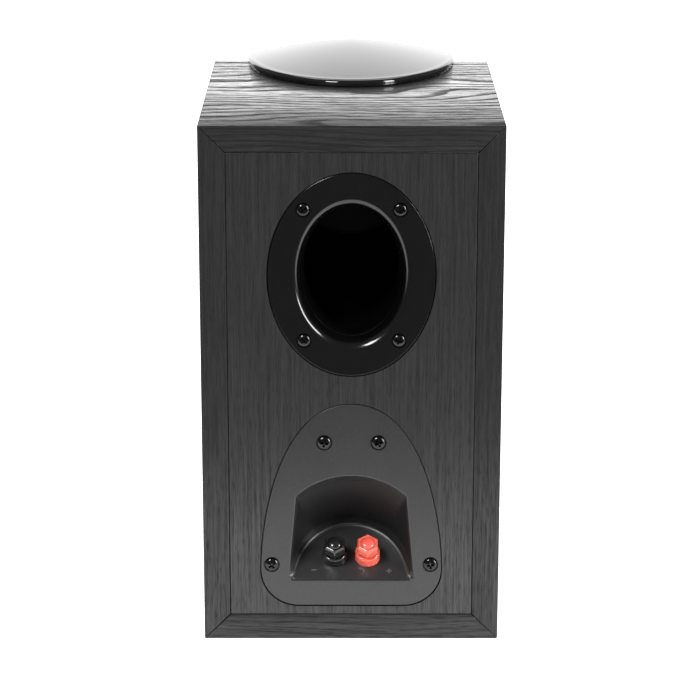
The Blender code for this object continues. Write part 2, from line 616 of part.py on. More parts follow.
REBATE_CLEAR = 0.0005       # round each flange
FLARE_CLEAR = 0.0042        # round the flare, behind its flange
cut(rear_panel,
    cutter("port_rebate", sawn([ellipse((0, PORT_Z), wider(PORT_FLANGE, REBATE_CLEAR), 48)],
                               BACK_Y - REBATE, BACK_Y + 0.01)),
    cutter("port_opening", sawn([ellipse((0, PORT_Z), wider(PORT_MOUTH, FLARE_CLEAR), 44)],
                                BACK_Y - 0.02, BACK_Y + 0.01)),
    cutter("cup_rebate", sawn([egg(REBATE_CLEAR)], BACK_Y - REBATE, BACK_Y + 0.01)),
    cutter("cup_opening", sawn([rounded(-0.0400, 0.0290, 0.0400, 0.1040, 0.006)],
                               BACK_Y - 0.02, BACK_Y + 0.01)),
    drills("rear_pilots", PORT_SCREWS + CUP_SCREWS, HOLE, BACK_Y - 0.0148, BACK_Y + 0.002))

# ---- Binding posts ------------------------------------------------------------------------------
# Each stands at right angles to the recess floor. Heights are from the floor.
COLLAR_R = 0.0071
COLLAR = 0.0062
STUD_R = 0.0020
CAP_FOOT = 0.0079
CAP_TOP = 0.0155
CAP_ACROSS = 0.0116         # across the hexagon's flats
STAND = Matrix.Rotation(-SHELF_SLOPE, 4, "X")       # local +Z leaves the floor
STUD_FOOT = -0.0130
drill_shape = bmesh.new()
for side in (-1, 1):
    spot = Matrix.Translation(on_shelf(side * POST_SPACING / 2, POST_OUT)) @ STAND
    bmesh.ops.create_cone(drill_shape, cap_ends=True, segments=14, radius1=STUD_R + GAP, radius2=STUD_R + GAP,
                          depth=0.02, matrix=spot)
drill_mesh = bpy.data.meshes.new("stud_holes")
drill_shape.to_mesh(drill_mesh)
drill_shape.free()
cut(terminal_cup, cutter("stud_holes", drill_mesh))


def hexagon_cap(name, place, finish):
    """A hexagonal cap with a domed end, bored from below for the stud."""
    rings = []
    turns = [pi / 2 + pi / 3 * i for i in range(6)]
    for height, size in ((CAP_FOOT, 0.96), (CAP_FOOT + 0.0004, 1.0), (CAP_TOP - 0.0016, 1.0),
                         (CAP_TOP - 0.0004, 0.84), (CAP_TOP, 0.62)):
        corner = CAP_ACROSS / 2 / cos(pi / 6) * size
        rings.append([(corner * cos(t), corner * sin(t), height) for t in turns])
    piece = add(name, lofted(rings), finish, place)
    bore = bmesh.new()
    bmesh.ops.create_cone(bore, cap_ends=True, segments=14, radius1=STUD_R + GAP, radius2=STUD_R + GAP,
                          depth=0.012, matrix=Matrix.Translation((0, 0, CAP_FOOT)))
    mesh = bpy.data.meshes.new(name + "_bore")
    bore.to_mesh(mesh)
    bore.free()
    cut(piece, cutter(name + "_bore", mesh, place))
    return piece


for colour, side, finish in (("red", -1, RED), ("black", 1, POST_BLACK)):
    place = Matrix.Translation(on_shelf(side * POST_SPACING / 2, POST_OUT)) @ STAND
    turned(f"{colour}_post_collar",
           [(STUD_R + GAP, COLLAR), (COLLAR_R - 0.0009, COLLAR), (COLLAR_R - 0.0002, COLLAR - 0.0005),
            (COLLAR_R, COLLAR - 0.0014), (COLLAR_R, GAP), (STUD_R + GAP, GAP)], finish, place, ring=True, steps=20)
    turned(f"{colour}_post_stud", [(0, 0.0132), (STUD_R, 0.0132), (STUD_R, STUD_FOOT), (0, STUD_FOOT)],
           NICKEL, place, steps=14)
    turned(f"{colour}_post_washer",
           [(STUD_R + GAP, COLLAR + GAP + 0.0009), (0.0045, COLLAR + GAP + 0.0009), (0.0045, COLLAR + GAP),
            (STUD_R + GAP, COLLAR + GAP)], NICKEL, place, ring=True, steps=14)
    hexagon_cap(f"{colour}_post_cap", place, finish)

# ---- Crossover ----------------------------------------------------------------------------------
# The circuit board lies on the bottom panel between the cup and the woofer's magnet.
PCB_BACK = BACK_Y - 0.062
PCB_FRONT = BACK_Y - 0.132
PCB_TOP = BOARD + GAP + 0.0016
block("crossover_board", (-0.050, PCB_FRONT, BOARD + GAP), (0.050, PCB_BACK, PCB_TOP), CIRCUIT_BOARD)


def coil(name, x, y, outer, inner, tall):
    low = PCB_TOP + GAP
    turned(name, [(inner, low + tall), (outer, low + tall), (outer, low), (inner, low)], COPPER,
           Matrix.Translation((x, y, 0)), ring=True, steps=20)


coil("woofer_inductor", -0.028, PCB_FRONT + 0.024, 0.0175, 0.0070, 0.0150)
coil("tweeter_inductor", 0.032, PCB_BACK - 0.016, 0.0120, 0.0060, 0.0100)
CAN_R = 0.0075
can_place = (Matrix.Translation((0.022, PCB_FRONT + 0.012, PCB_TOP + GAP + CAN_R))
             @ Matrix.Rotation(radians(90), 4, "Y"))
turned("tweeter_capacitor", [(0, 0.015), (CAN_R - 0.001, 0.015), (CAN_R, 0.014), (CAN_R, -0.014),
                             (CAN_R - 0.001, -0.015), (0, -0.015)], FILM, can_place, steps=20)
block("crossover_resistor", (-0.036, PCB_BACK - 0.016, PCB_TOP + GAP),
      (-0.012, PCB_BACK - 0.007, PCB_TOP + GAP + 0.009), CERAMIC, 0.0005)

# ---- Cables -------------------------------------------------------------------------------------
CABLE_R = 0.0021
LAND = PCB_TOP + CABLE_R + 0.0004       # a cable's centre line as it lies on the board
stud_end = on_shelf(0, POST_OUT, STUD_FOOT)
cable("input_cable", [(0.0, stud_end.y + 0.001, stud_end.z + 0.004),
                      (0.0, stud_end.y - 0.007, stud_end.z - 0.001),
                      (0.002, stud_end.y - 0.016, stud_end.z - 0.012),
                      (0.004, PCB_BACK + 0.002, LAND + 0.004),
                      (0.005, PCB_BACK - 0.010, LAND), (0.005, PCB_BACK - 0.022, LAND)], CABLE_R, CABLE)
cable("woofer_cable", [(0.030, PCB_FRONT + 0.032, LAND), (0.042, PCB_FRONT + 0.030, LAND + 0.001),
                       (0.053, PCB_FRONT + 0.012, 0.030), (0.055, FRONT_Y + 0.052, 0.055),
                       (0.054, FRONT_Y + 0.038, 0.082), (0.050, FRONT_Y + 0.034, WOOFER_Z)], CABLE_R, CABLE)
cable("tweeter_cable", [(-0.034, PCB_BACK - 0.026, LAND), (-0.044, PCB_BACK - 0.030, LAND + 0.001),
                        (-0.053, PCB_BACK - 0.042, 0.032), (-0.055, FRONT_Y + 0.070, 0.080),
                        (-0.049, FRONT_Y + 0.052, 0.140), (-0.047, FRONT_Y + 0.050, 0.172),
                        (-0.047, FRONT_Y + 0.044, 0.205), (-0.043, FRONT_Y + 0.028, TWEETER_Z - 0.006),
                        (-0.037, FRONT_Y + 0.018, TWEETER_Z)], CABLE_R, CABLE)

for piece in SPEAKER.objects:
    if piece.type == "MESH":
        piece.data.shade_smooth()
        piece.data.set_sharp_from_angle(angle=radians(30))
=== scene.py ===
"""The looks of a two-way bookshelf speaker, put together piece by piece round its plain model.

Metres, +Z up. The grille faces -Y and the port and terminals face +Y. The plain model's boxes and
joints give the places of pieces. Profiles of turned pieces are written here, from their own origins.
"""
import json
from math import cos, pi, radians, sin

import bmesh
import bpy
from mathutils import Matrix, Vector

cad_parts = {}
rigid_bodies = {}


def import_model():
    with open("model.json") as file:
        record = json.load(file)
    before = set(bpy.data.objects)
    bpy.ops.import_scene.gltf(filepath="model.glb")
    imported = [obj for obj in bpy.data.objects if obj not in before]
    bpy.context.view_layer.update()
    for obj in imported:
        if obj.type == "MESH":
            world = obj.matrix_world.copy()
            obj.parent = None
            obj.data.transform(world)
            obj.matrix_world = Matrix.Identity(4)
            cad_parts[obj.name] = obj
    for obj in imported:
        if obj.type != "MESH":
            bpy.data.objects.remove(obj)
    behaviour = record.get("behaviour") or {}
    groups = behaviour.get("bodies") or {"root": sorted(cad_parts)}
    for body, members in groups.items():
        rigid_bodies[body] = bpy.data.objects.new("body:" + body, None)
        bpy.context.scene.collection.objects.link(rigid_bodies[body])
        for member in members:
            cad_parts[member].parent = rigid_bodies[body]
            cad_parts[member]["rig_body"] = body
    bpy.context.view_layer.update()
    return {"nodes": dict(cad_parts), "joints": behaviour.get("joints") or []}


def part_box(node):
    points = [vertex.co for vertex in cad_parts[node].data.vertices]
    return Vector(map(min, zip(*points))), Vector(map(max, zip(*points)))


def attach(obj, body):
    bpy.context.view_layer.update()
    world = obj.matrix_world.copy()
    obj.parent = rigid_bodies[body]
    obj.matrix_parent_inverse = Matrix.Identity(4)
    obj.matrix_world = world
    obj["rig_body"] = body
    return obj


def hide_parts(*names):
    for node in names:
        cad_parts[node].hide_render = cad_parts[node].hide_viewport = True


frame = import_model()

# ---- Cabinet boards -----------------------------------------------------------------------------
# Four 15 mm boards of MDF wrapped in black ash foil. They are cut with 45 degree mitres and folded
# up round the box, so each corner shows one hair line at the back, and the foil eases every edge.
FOIL_EDGE = 0.0002


class Wire:
    """One socket in a material. Arithmetic on it adds Math nodes, and node() adds any other node."""

    def __init__(self, tree, socket=None):
        self.tree = tree
        self.socket = socket

    def node(self, kind, settings=(), sockets=(), out=0):
        made = self.tree.nodes.new("ShaderNode" + kind)
        for name, value in dict(settings).items():
            setattr(made, name, value)
        for name, value in dict(sockets).items():
            if isinstance(value, Wire):
                self.tree.links.new(value.socket, made.inputs[name])
            else:
                made.inputs[name].default_value = value
        return Wire(self.tree, made.outputs[out])

    def axis(self, name):
        """One axis of coordinates."""
        parts = self.tree.nodes.new("ShaderNodeSeparateXYZ")
        self.tree.links.new(self.socket, parts.inputs["Vector"])
        return Wire(self.tree, parts.outputs[name])

    def maths(self, operation, *values):
        return self.node("Math", {"operation": operation}, enumerate(values))

    def __add__(self, other):
        return self.maths("ADD", self, other)

    def __sub__(self, other):
        return self.maths("SUBTRACT", self, other)

    def __rsub__(self, other):
        return self.maths("SUBTRACT", other, self)

    def __mul__(self, other):
        return self.maths("MULTIPLY", self, other)

    __radd__ = __add__
    __rmul__ = __mul__


def new_finish(name, **constants):
    """A material: itself, its shader with the constants on its own sockets, and its coordinates."""
    made = bpy.data.materials.new(name)
    made.use_nodes = True
    shader = made.node_tree.nodes["Principled BSDF"]
    for socket, value in constants.items():
        shader.inputs[socket.replace("_", " ")].default_value = value
    return made, shader, Wire(made.node_tree).node("TexCoord", out="Object")


def feed(shader, **wires):
    for socket, wire in wires.items():
        wire.tree.links.new(wire.socket, shader.inputs[socket.replace("_", " ")])


def drawn_out(place, along, across, through=None):
    """Coordinates scaled along X, Y and Z, so that a pattern on them is stretched."""
    return place.node("Mapping", {}, {"Vector": place, "Scale": (along, across, through or across)})


def noise(place, scale=1.0, detail=2.0, rough=0.5):
    return place.node("TexNoise", {}, {"Vector": place, "Scale": scale, "Detail": detail, "Roughness": rough})


def ramp(wire, low, high, start=0.0, end=1.0):
    """Start up to low and end past high, with a smooth rise between them."""
    return wire.node("MapRange", {"interpolation_type": "SMOOTHSTEP"},
                     {"Value": wire, "From Min": low, "From Max": high, "To Min": start, "To Max": end})


def blended(part, first, second):
    """A colour between two greys or colours, by a part from 0 to 1."""
    ends = [(shade, shade, shade) if isinstance(shade, float) else shade for shade in (first, second)]
    return part.node("Mix", {"data_type": "RGBA"}, {0: part, 6: (*ends[0], 1), 7: (*ends[1], 1)}, out=2)


def bumped(height, distance, strength=1.0):
    return height.node("Bump", {}, {"Height": height, "Distance": distance, "Strength": strength})


def grained(name, shades, rough, relief, stretch=None, scale=1.0, detail=2.0, grit=0.5, **constants):
    """A finish whose shade, roughness and relief all follow one fine noise.

    Shades are its ends. Rough is the least roughness and how much the noise adds to it.
    """
    made, shader, place = new_finish(name, **constants)
    grain = noise(drawn_out(place, *stretch) if stretch else place, scale, detail, grit)
    feed(shader, Base_Color=blended(grain, *shades), Roughness=rough[0] + grain * rough[1])
    if relief:
        feed(shader, Normal=bumped(grain, relief))
    return made


def black_ash(name, turn, ring_pitch, swirl, figure, gloss, shine, fine, offset=0.0):
    """Black ash foil with its grain turned along X.

    Ring_pitch is rings a metre across Y and Z. Swirl is how often the grain wanders along and across,
    and over how many rings. Figure, 0 to 1, is how far the rings show. Gloss is the coat's roughness,
    shine its weight, and fine how closely the fibres lie.
    """
    made, shader, place = new_finish(name, Specular_IOR_Level=0.12, Coat_IOR=1.62, Coat_Roughness=gloss)
    laid = place.node("Mapping", {}, {"Vector": place, "Rotation": turn, "Location": (offset,) * 3})
    wander = noise(drawn_out(laid, swirl[0], swirl[1]), detail=1.5)
    rings = laid.axis("Y") * ring_pitch[0] + laid.axis("Z") * ring_pitch[1] + wander * swirl[2]
    rings = rings.maths("FRACT", rings)
    early = (ramp(rings, 0.50, 0.90) - ramp(rings, 0.91, 1.0)) * figure
    fibre = noise(drawn_out(laid, 34, 820 * fine), detail=3.0, rough=0.65)
    streak = noise(drawn_out(laid, 14, 330 * fine), detail=3.5, rough=0.72)
    pores = ramp(noise(drawn_out(laid, 110, 1500), detail=1.5) + early * 0.14, 0.53, 0.63)
    lie = (ramp(streak, 0.30, 0.66) - 0.5) * 0.70 + (ramp(fibre, 0.32, 0.68) - 0.5) * 0.45
    sheen = (lie - pores * 0.40) * (0.3 + 0.7 * figure) + 0.55 - early * 0.55
    tone = ramp(fibre, 0.25, 0.75) * 0.6 + streak * 0.4
    shade = tone * (1.0 - early * 0.28) * (1.0 - pores * 0.45)
    height = fibre * 0.5 + (1.0 - pores) * 0.6 + (1.0 - early) * 0.3
    feed(shader, Base_Color=blended(shade, (0.0095, 0.0095, 0.0098), (0.0235, 0.0235, 0.024)),
         Roughness=0.46 + pores * 0.3, Coat_Weight=sheen * shine, Normal=bumped(height, 0.00012, 0.5))
    return made


def finished(shape, name, finish, *stands_for, crease=30, slot=None, body=None):
    """Makes a piece of a bmesh. It rides with the plain solids that it stands for, and hides them."""
    mesh = bpy.data.meshes.new(name)
    shape.to_mesh(mesh)
    shape.free()
    mesh.materials.append(finish)
    mesh.shade_smooth()
    mesh.set_sharp_from_angle(angle=radians(crease))
    piece = bpy.data.objects.new(name, mesh)
    bpy.context.scene.collection.objects.link(piece)
    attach(piece, body or frame["nodes"][stands_for[0]]["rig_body"])
    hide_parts(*stands_for)
    return piece


def ease(shape, edges, width, segments=3):
    bmesh.ops.bevel(shape, geom=edges, offset=width, offset_type="OFFSET", segments=segments, profile=0.5,
                    affect="EDGES", material=-1, clamp_overlap=True)


def box_shape(low, high):
    """A box between two corners."""
    shape = bmesh.new()
    bmesh.ops.create_cube(shape, size=1)
    bmesh.ops.scale(shape, vec=Vector(high) - Vector(low), verts=shape.verts)
    bmesh.ops.translate(shape, vec=(Vector(high) + Vector(low)) / 2, verts=shape.verts)
    return shape


ALONG_X = (0, 0, 0)
ALONG_Z = (0, radians(90), 0)
cabinet_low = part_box("side_panel_left")[0]
cabinet_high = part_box("side_panel_right")[1]
HEIGHT = cabinet_high.z
BACK_Y = cabinet_high.y
FRONT_Y = cabinet_low.y
HALF = cabinet_high.x
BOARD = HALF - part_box("rear_panel")[1].x
LYING = (ALONG_X, (90, 330), (6.5, 17, 8.0))
STANDING = (ALONG_Z, (140, 190), (3.6, 18, 3.5))
ash_lying = black_ash("black_ash_lying", *LYING, 1.0, 0.19, 1.25, 1.35)
ash_under = black_ash("black_ash_under", *LYING, 0.5, 0.25, 0.55, 1.35)
ash_upright = black_ash("black_ash_upright", *STANDING, 0.30, 0.31, 0.55, 1.35)
ash_standing = black_ash("black_ash_standing", *STANDING, 0.20, 0.33, 0.95, 1.7, 0.31)
BOARDS = (("top_panel", "ash_top", Vector((0, 0, 1)), 0, ash_lying),
          ("bottom_panel", "ash_bottom", Vector((0, 0, -1)), 0, ash_under),
          ("side_panel_left", "ash_side_left", Vector((-1, 0, 0)), 2, ash_upright),
          ("side_panel_right", "ash_side_right", Vector((1, 0, 0)), 2, ash_upright))
for node, name, face, along, finish in BOARDS:
    low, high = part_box(node)
    board = box_shape(low, high)
    centre = (low + high) / 2
    inner = [vert for vert in board.verts if (vert.co - centre).dot(face) < 0]
    shorter = [1.0, 1.0, 1.0]
    shorter[along] = 1 - 2 * BOARD / (high - low)[along]
    bmesh.ops.scale(board, vec=shorter, verts=inner, space=Matrix.Translation(-centre))
    ease(board, board.edges[:], FOIL_EDGE)
    finished(board, name, finish, node)


# ---- Rear panel ---------------------------------------------------------------------------------
# A 15 mm panel of the same foiled MDF with its grain upright, set in between the boards. A router cuts
# a shallow step for each moulding's flange, and a hole through it for the port and the cup.
def middle(node):
    low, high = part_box(node)
    return (low + high) / 2


def reach(node):
    low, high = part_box(node)
    return (high - low) / 2


def arc(centre, radii, start, end, steps):
    """Points on an arc or an elliptical arc, from a start angle to an end angle."""
    turns = [radians(start + (end - start) * i / steps) for i in range(steps + 1)]
    return [(centre[0] + radii[0] * cos(t), centre[1] + radii[1] * sin(t)) for t in turns]


def oval(radii, steps=96):
    """The port's outline at a half width and half height, in X and Z."""
    return arc((0, PORT.z), radii, 0, 360, steps)[:-1]


def bezier(p0, p1, p2, p3, steps):
    outline = []
    for i in range(steps):
        t = i / steps
        weights = ((1 - t) ** 3, 3 * t * (1 - t) ** 2, 3 * t * t * (1 - t), t ** 3)
        outline.append(tuple(sum(w * p[k] for w, p in zip(weights, (p0, p1, p2, p3))) for k in (0, 1)))
    return outline


def rounded(left, low, right, high, radius, steps=8):
    corners = [(right - radius, low + radius, -90), (right - radius, high - radius, 0),
               (left + radius, high - radius, 90), (left + radius, low + radius, 180)]
    outline = []
    for x, z, start in corners:
        outline += arc((x, z), (radius, radius), start, start + 90, steps)
    return outline


CUP_HALF = reach("terminal_cup").x
CUP_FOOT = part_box("terminal_cup")[0].z
CUP_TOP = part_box("terminal_cup")[1].z
CUP_CORNER = 0.022
CUP_SHOULDER = 0.032        # how far up the straight side pulls the curve
CUP_BROW = 0.0407           # how far out the top pulls it


def egg(grow=0.0):
    """The cup flange's outline in X and Z: a rounded triangle on a flat foot."""
    half, low, high, corner = CUP_HALF + grow, CUP_FOOT - grow, CUP_TOP + grow, CUP_CORNER + grow
    shoulder = low + corner
    right = bezier((half, shoulder), (half, shoulder + CUP_SHOULDER), (CUP_BROW, high), (0, high), 36)
    left = [(-x, z) for x, z in reversed(right)]
    return (arc((half - corner, shoulder), (corner, corner), -90, 0, 14)[:-1] + right + [(0, high)]
            + left + arc((corner - half, shoulder), (corner, corner), 180, 270, 14)[1:])


def upright(outline, y):
    """An outline in X and Z, stood up at a depth."""
    return [Vector((x, y, z)) for x, z in outline]


def lofted(shape, loops):
    """A skin of quads through closed loops of points, which all have the same count."""
    around = len(loops[0])
    grid = bmesh.ops.create_grid(shape, x_segments=around, y_segments=len(loops) - 1, size=0.5)["verts"]
    for vert in grid:
        along = round((vert.co.x + 0.5) * around) % around
        vert.co = loops[round((vert.co.y + 0.5) * (len(loops) - 1))][along]


def filled(shape, loops, normal):
    """Flat faces between an outer loop and the holes in it."""
    edges = []
    for loop in loops:
        verts = [shape.verts.new(point) for point in loop]
        edges += [shape.edges.new(pair) for pair in zip(verts, verts[1:] + verts[:1])]
    made = bmesh.ops.triangle_fill(shape, edges=edges, use_beauty=True, normal=normal)["geom"]
    return [face for face in made if isinstance(face, bmesh.types.BMFace)]


FLAT_EDGE = 0.0003
SAME_POINT = 2e-6


def welded(shape, flats=()):
    """Joins a shape's skins, turns its faces out, and keeps each flat true up to a narrow edge."""
    bmesh.ops.remove_doubles(shape, verts=shape.verts, dist=SAME_POINT)
    bmesh.ops.recalc_face_normals(shape, faces=shape.faces)
    flats = [face for face in flats if face.is_valid]
    if flats:
        bmesh.ops.inset_region(shape, faces=flats, thickness=FLAT_EDGE, use_boundary=True,
                               use_even_offset=True)
    return shape


PORT = middle("port_flare")
PORT_FLANGE = (reach("port_flare").x, reach("port_flare").z)
BACKWARD = (0, 1, 0)
FORWARD = (0, -1, 0)
rear_low, rear_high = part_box("rear_panel")
REBATE = 0.0036
REBATE_CLEAR = 0.0005
PANEL_CORNER = 0.0006
PANEL_EASE = 0.0004
rear_outline = rounded(rear_low.x, rear_low.z, rear_high.x, rear_high.z, PANEL_CORNER, 3)
rear_edge = rounded(rear_low.x + PANEL_EASE, rear_low.z + PANEL_EASE, rear_high.x - PANEL_EASE,
                    rear_high.z - PANEL_EASE, 0.0004, 3)
port_step = oval((PORT_FLANGE[0] + REBATE_CLEAR, PORT_FLANGE[1] + REBATE_CLEAR))
port_hole = oval((0.0371, 0.0479))
cup_step = egg(REBATE_CLEAR)
cup_hole = rounded(-0.0400, 0.0290, 0.0400, 0.1040, 0.006)


def each_upright(outlines, y):
    return [upright(outline, y) for outline in outlines]


panel = bmesh.new()
flats = filled(panel, each_upright([rear_edge, port_step, cup_step], BACK_Y), BACKWARD)
lofted(panel, [upright(rear_edge, BACK_Y), upright(rear_outline, BACK_Y - PANEL_EASE),
               upright(rear_outline, rear_low.y)])
for step, hole in ((port_step, port_hole), (cup_step, cup_hole)):
    lofted(panel, [upright(step, BACK_Y), upright(step, BACK_Y - REBATE)])
    filled(panel, each_upright([step, hole], BACK_Y - REBATE), BACKWARD)
    lofted(panel, [upright(hole, BACK_Y - REBATE), upright(hole, rear_low.y)])
filled(panel, each_upright([rear_outline, port_hole, cup_hole], rear_low.y), FORWARD)
finished(welded(panel, flats), "ash_rear", ash_standing, "rear_panel")


# ---- Baffle, brace and wadding ------------------------------------------------------------------
# The baffle that carries both drivers and the shelf brace are MDF dyed black, cut to fit and glued.
# One sheet of grey polyester wadding is folded down both sides under the brace.
def mdf_board(name):
    """MDF dyed black through, with pale and dark flecks of pressed fibre."""
    made, shader, place = new_finish(name, Specular_IOR_Level=0.2)
    flecks = noise(drawn_out(place, 900, 700, 1300), detail=4.0, rough=0.7)
    clouds = noise(place, 45, detail=2.0)
    feed(shader, Base_Color=blended(ramp(flecks, 0.35, 0.7) * 0.7 + clouds * 0.3, 0.014, 0.034),
         Roughness=0.78 + flecks * 0.15, Normal=bumped(flecks, 0.00008))
    return made


def dress(finish, *names):
    """Gives plain solids that stay as they are their finish."""
    for name in names:
        solid = frame["nodes"][name]
        solid.data.materials.clear()
        solid.data.materials.append(finish)


dress(mdf_board("dyed_mdf"), "front_baffle", "cabinet_brace")


wad_low, wad_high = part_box("acoustic_wadding")
WAD = 0.009
wad_in = wad_high.x - WAD
folded = [(-wad_high.x, wad_low.z), (-wad_in, wad_low.z), (-wad_in, wad_high.z - WAD),
          (wad_in, wad_high.z - WAD), (wad_in, wad_low.z), (wad_high.x, wad_low.z),
          (wad_high.x, wad_high.z), (-wad_high.x, wad_high.z)]
pad = bmesh.new()
lofted(pad, [upright(folded, wad_low.y + (wad_high.y - wad_low.y) * i / 8) for i in range(9)])
filled(pad, [upright(folded, wad_low.y)], FORWARD)
filled(pad, [upright(folded, wad_high.y)], BACKWARD)
welded(pad)
long_edges = [edge for edge in pad.edges if edge.calc_length() > 0.03 and len(edge.link_faces) == 2]
bmesh.ops.subdivide_edges(pad, edges=long_edges, cuts=5, use_grid_fill=True)
wadding_fibre = grained("wadding_fibre", (0.10, 0.24), (0.9, 0.1), 0.0008, (400, 1500, 500), detail=5.0,
                        grit=0.75, Specular_IOR_Level=0.1, Sheen_Weight=0.5, Sheen_Roughness=0.6)
wadding = finished(pad, "wadding_sheet", wadding_fibre, "acoustic_wadding", crease=80)


# ---- Port ---------------------------------------------------------------------------------------
# One satin black moulding: a flat flange with four sunk screw holes, and a flare that rolls in from
# its lip to the throat in two steps. A plain tube of the same plastic is pushed on behind it.
def satin_black(name):
    """Smooth moulded plastic with the faintest orange peel."""
    made, shader, place = new_finish(name, Specular_IOR_Level=0.48)
    peel = noise(place, 700, detail=2.0)
    haze = noise(place, 60, detail=3.0)
    feed(shader, Base_Color=blended(haze, 0.0016, 0.0030), Roughness=0.13 + haze * 0.06,
         Normal=bumped(peel, 0.000006))
    return made


PORT_MOUTH = (0.0338, 0.0452)
PORT_THROAT = (0.0270, 0.0365)
FLANGE = 0.003
FLANGE_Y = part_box("port_flare")[1].y
WALL = 0.0022
ROLL_DEEP = 0.0100
ROLL_PART = 0.86            # how much of the narrowing the roll makes before the step
FLARE_DEEP = 0.024
EASE = 0.0006


def between(a, b, part):
    return tuple(p + (q - p) * part for p, q in zip(a, b))


def wider(radii, extra):
    return tuple(r + extra for r in radii)


def circle(x, z, radius, steps=32):
    return arc((x, z), (radius, radius), 0, 360, steps)[:-1]


def screw_spots(kind, count):
    """Where a kind of screw stands, in X and Z."""
    return [(middle(f"{kind}_{i}").x, middle(f"{kind}_{i}").z) for i in range(1, count + 1)]


def holes(spots, radius, y):
    return [upright(circle(x, z, radius), y) for x, z in spots]


def rounded_edge(outline, width, face, out, turns):
    """Loops round an edge. Outline makes the loop inset by a length, and out is 1 for a back face."""
    return [upright(outline(width * (1 - cos(radians(t)))), face - out * width * (1 - sin(radians(t))))
            for t in turns]


def sunk_holes(shape, spots, radius, taper, deep):
    """Walls and shelves of holes sunk in a flange, with a clear hole for each shank."""
    for spot in spots:
        lofted(shape, holes([spot], radius, FLANGE_Y) + holes([spot], radius - taper, FLANGE_Y - deep)
               + holes([spot], SHANK_HOLE, FLANGE_Y - deep) + holes([spot], SHANK_HOLE, FLANGE_BACK))


def port_loop(start, end, turn, y):
    return upright(oval(between(start, end, sin(radians(turn)))), y)


FLANGE_BACK = FLANGE_Y - FLANGE
EDGE_TURNS = (0, 22.5, 45, 67.5, 90)
port_spots = screw_spots("port_screw", 4)
SINK = 0.0012
SUNK_R = 0.0043
SHANK_HOLE = 0.0017
STEP = 0.0004
port = bmesh.new()
step_radii = between(PORT_MOUTH, PORT_THROAT, ROLL_PART)
flare = [port_loop(PORT_MOUTH, step_radii, 6 * i, FLANGE_Y - ROLL_DEEP * (1 - cos(radians(6 * i))))
         for i in range(16)]
flare += [port_loop(step_radii, PORT_THROAT, 7.5 * i, FLANGE_Y - ROLL_DEEP - STEP
                    - (FLARE_DEEP - ROLL_DEEP) * (1 - cos(radians(7.5 * i)))) for i in range(13)]
spigot = wider(PORT_THROAT, WALL)
for radii, y in ((PORT_THROAT, BACK_Y - 0.034), (spigot, BACK_Y - 0.034), (spigot, BACK_Y - 0.0215),
                 (wider(PORT_MOUTH, 0.0004), BACK_Y - 0.0100), (wider(PORT_MOUTH, WALL), FLANGE_BACK)):
    flare.append(upright(oval(radii), y))
rim = [upright(oval(PORT_FLANGE), FLANGE_BACK)]
rim += rounded_edge(lambda inset: oval(wider(PORT_FLANGE, -inset)), EASE, FLANGE_Y, 1, EDGE_TURNS)
lofted(port, flare)
lofted(port, rim)
flats = filled(port, [rim[-1], flare[0]] + holes(port_spots, SUNK_R, FLANGE_Y), BACKWARD)
filled(port, [rim[0], flare[-1]] + holes(port_spots, SHANK_HOLE, FLANGE_BACK), FORWARD)
sunk_holes(port, port_spots, SUNK_R, 0.0002, SINK)
satin = satin_black("satin_moulding")
finished(welded(port, flats), "port_mouth", satin, "port_flare")

TUBE_IN = wider(spigot, 0.0003)
tube_low, tube_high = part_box("port_tube")
tube = bmesh.new()
TUBE_OUT = wider(TUBE_IN, WALL)
ring = [(TUBE_IN, tube_high.y), (TUBE_IN, tube_low.y), (wider(TUBE_IN, 0.0004), tube_low.y),
        (TUBE_OUT, tube_low.y + 0.0004), (TUBE_OUT, tube_high.y), (TUBE_IN, tube_high.y)]
lofted(tube, [upright(oval(radii), y) for radii, y in ring])
finished(welded(tube), "port_duct", satin, "port_tube")


# ---- Screws -------------------------------------------------------------------------------------
# Black zinc plated steel wood screws with pan heads and a cross recess, driven to different turns.
OUT_BACK = Matrix.Rotation(radians(-90), 4, "X")     # local +Z points out of the back
OUT_FRONT = Matrix.Rotation(radians(90), 4, "X")     # local +Z points out of the front


def turned(profile, place=Matrix.Identity(4), ring=False, steps=96, turn=360):
    """A shape turned about its local Z from a profile of (radius, height) points, then put in place."""
    shape = bmesh.new()
    verts = [shape.verts.new((radius, 0, height)) for radius, height in profile]
    pairs = list(zip(verts, verts[1:])) + ([(verts[-1], verts[0])] if ring else [])
    edges = [shape.edges.new(pair) for pair in pairs]
    bmesh.ops.spin(shape, geom=verts + edges, axis=(0, 0, 1), cent=(0, 0, 0), angle=radians(turn),
                   steps=steps, use_merge=turn == 360)
    bmesh.ops.remove_doubles(shape, verts=shape.verts, dist=1e-7)
    bmesh.ops.recalc_face_normals(shape, faces=shape.faces)
    bmesh.ops.transform(shape, matrix=place, verts=shape.verts)
    return shape


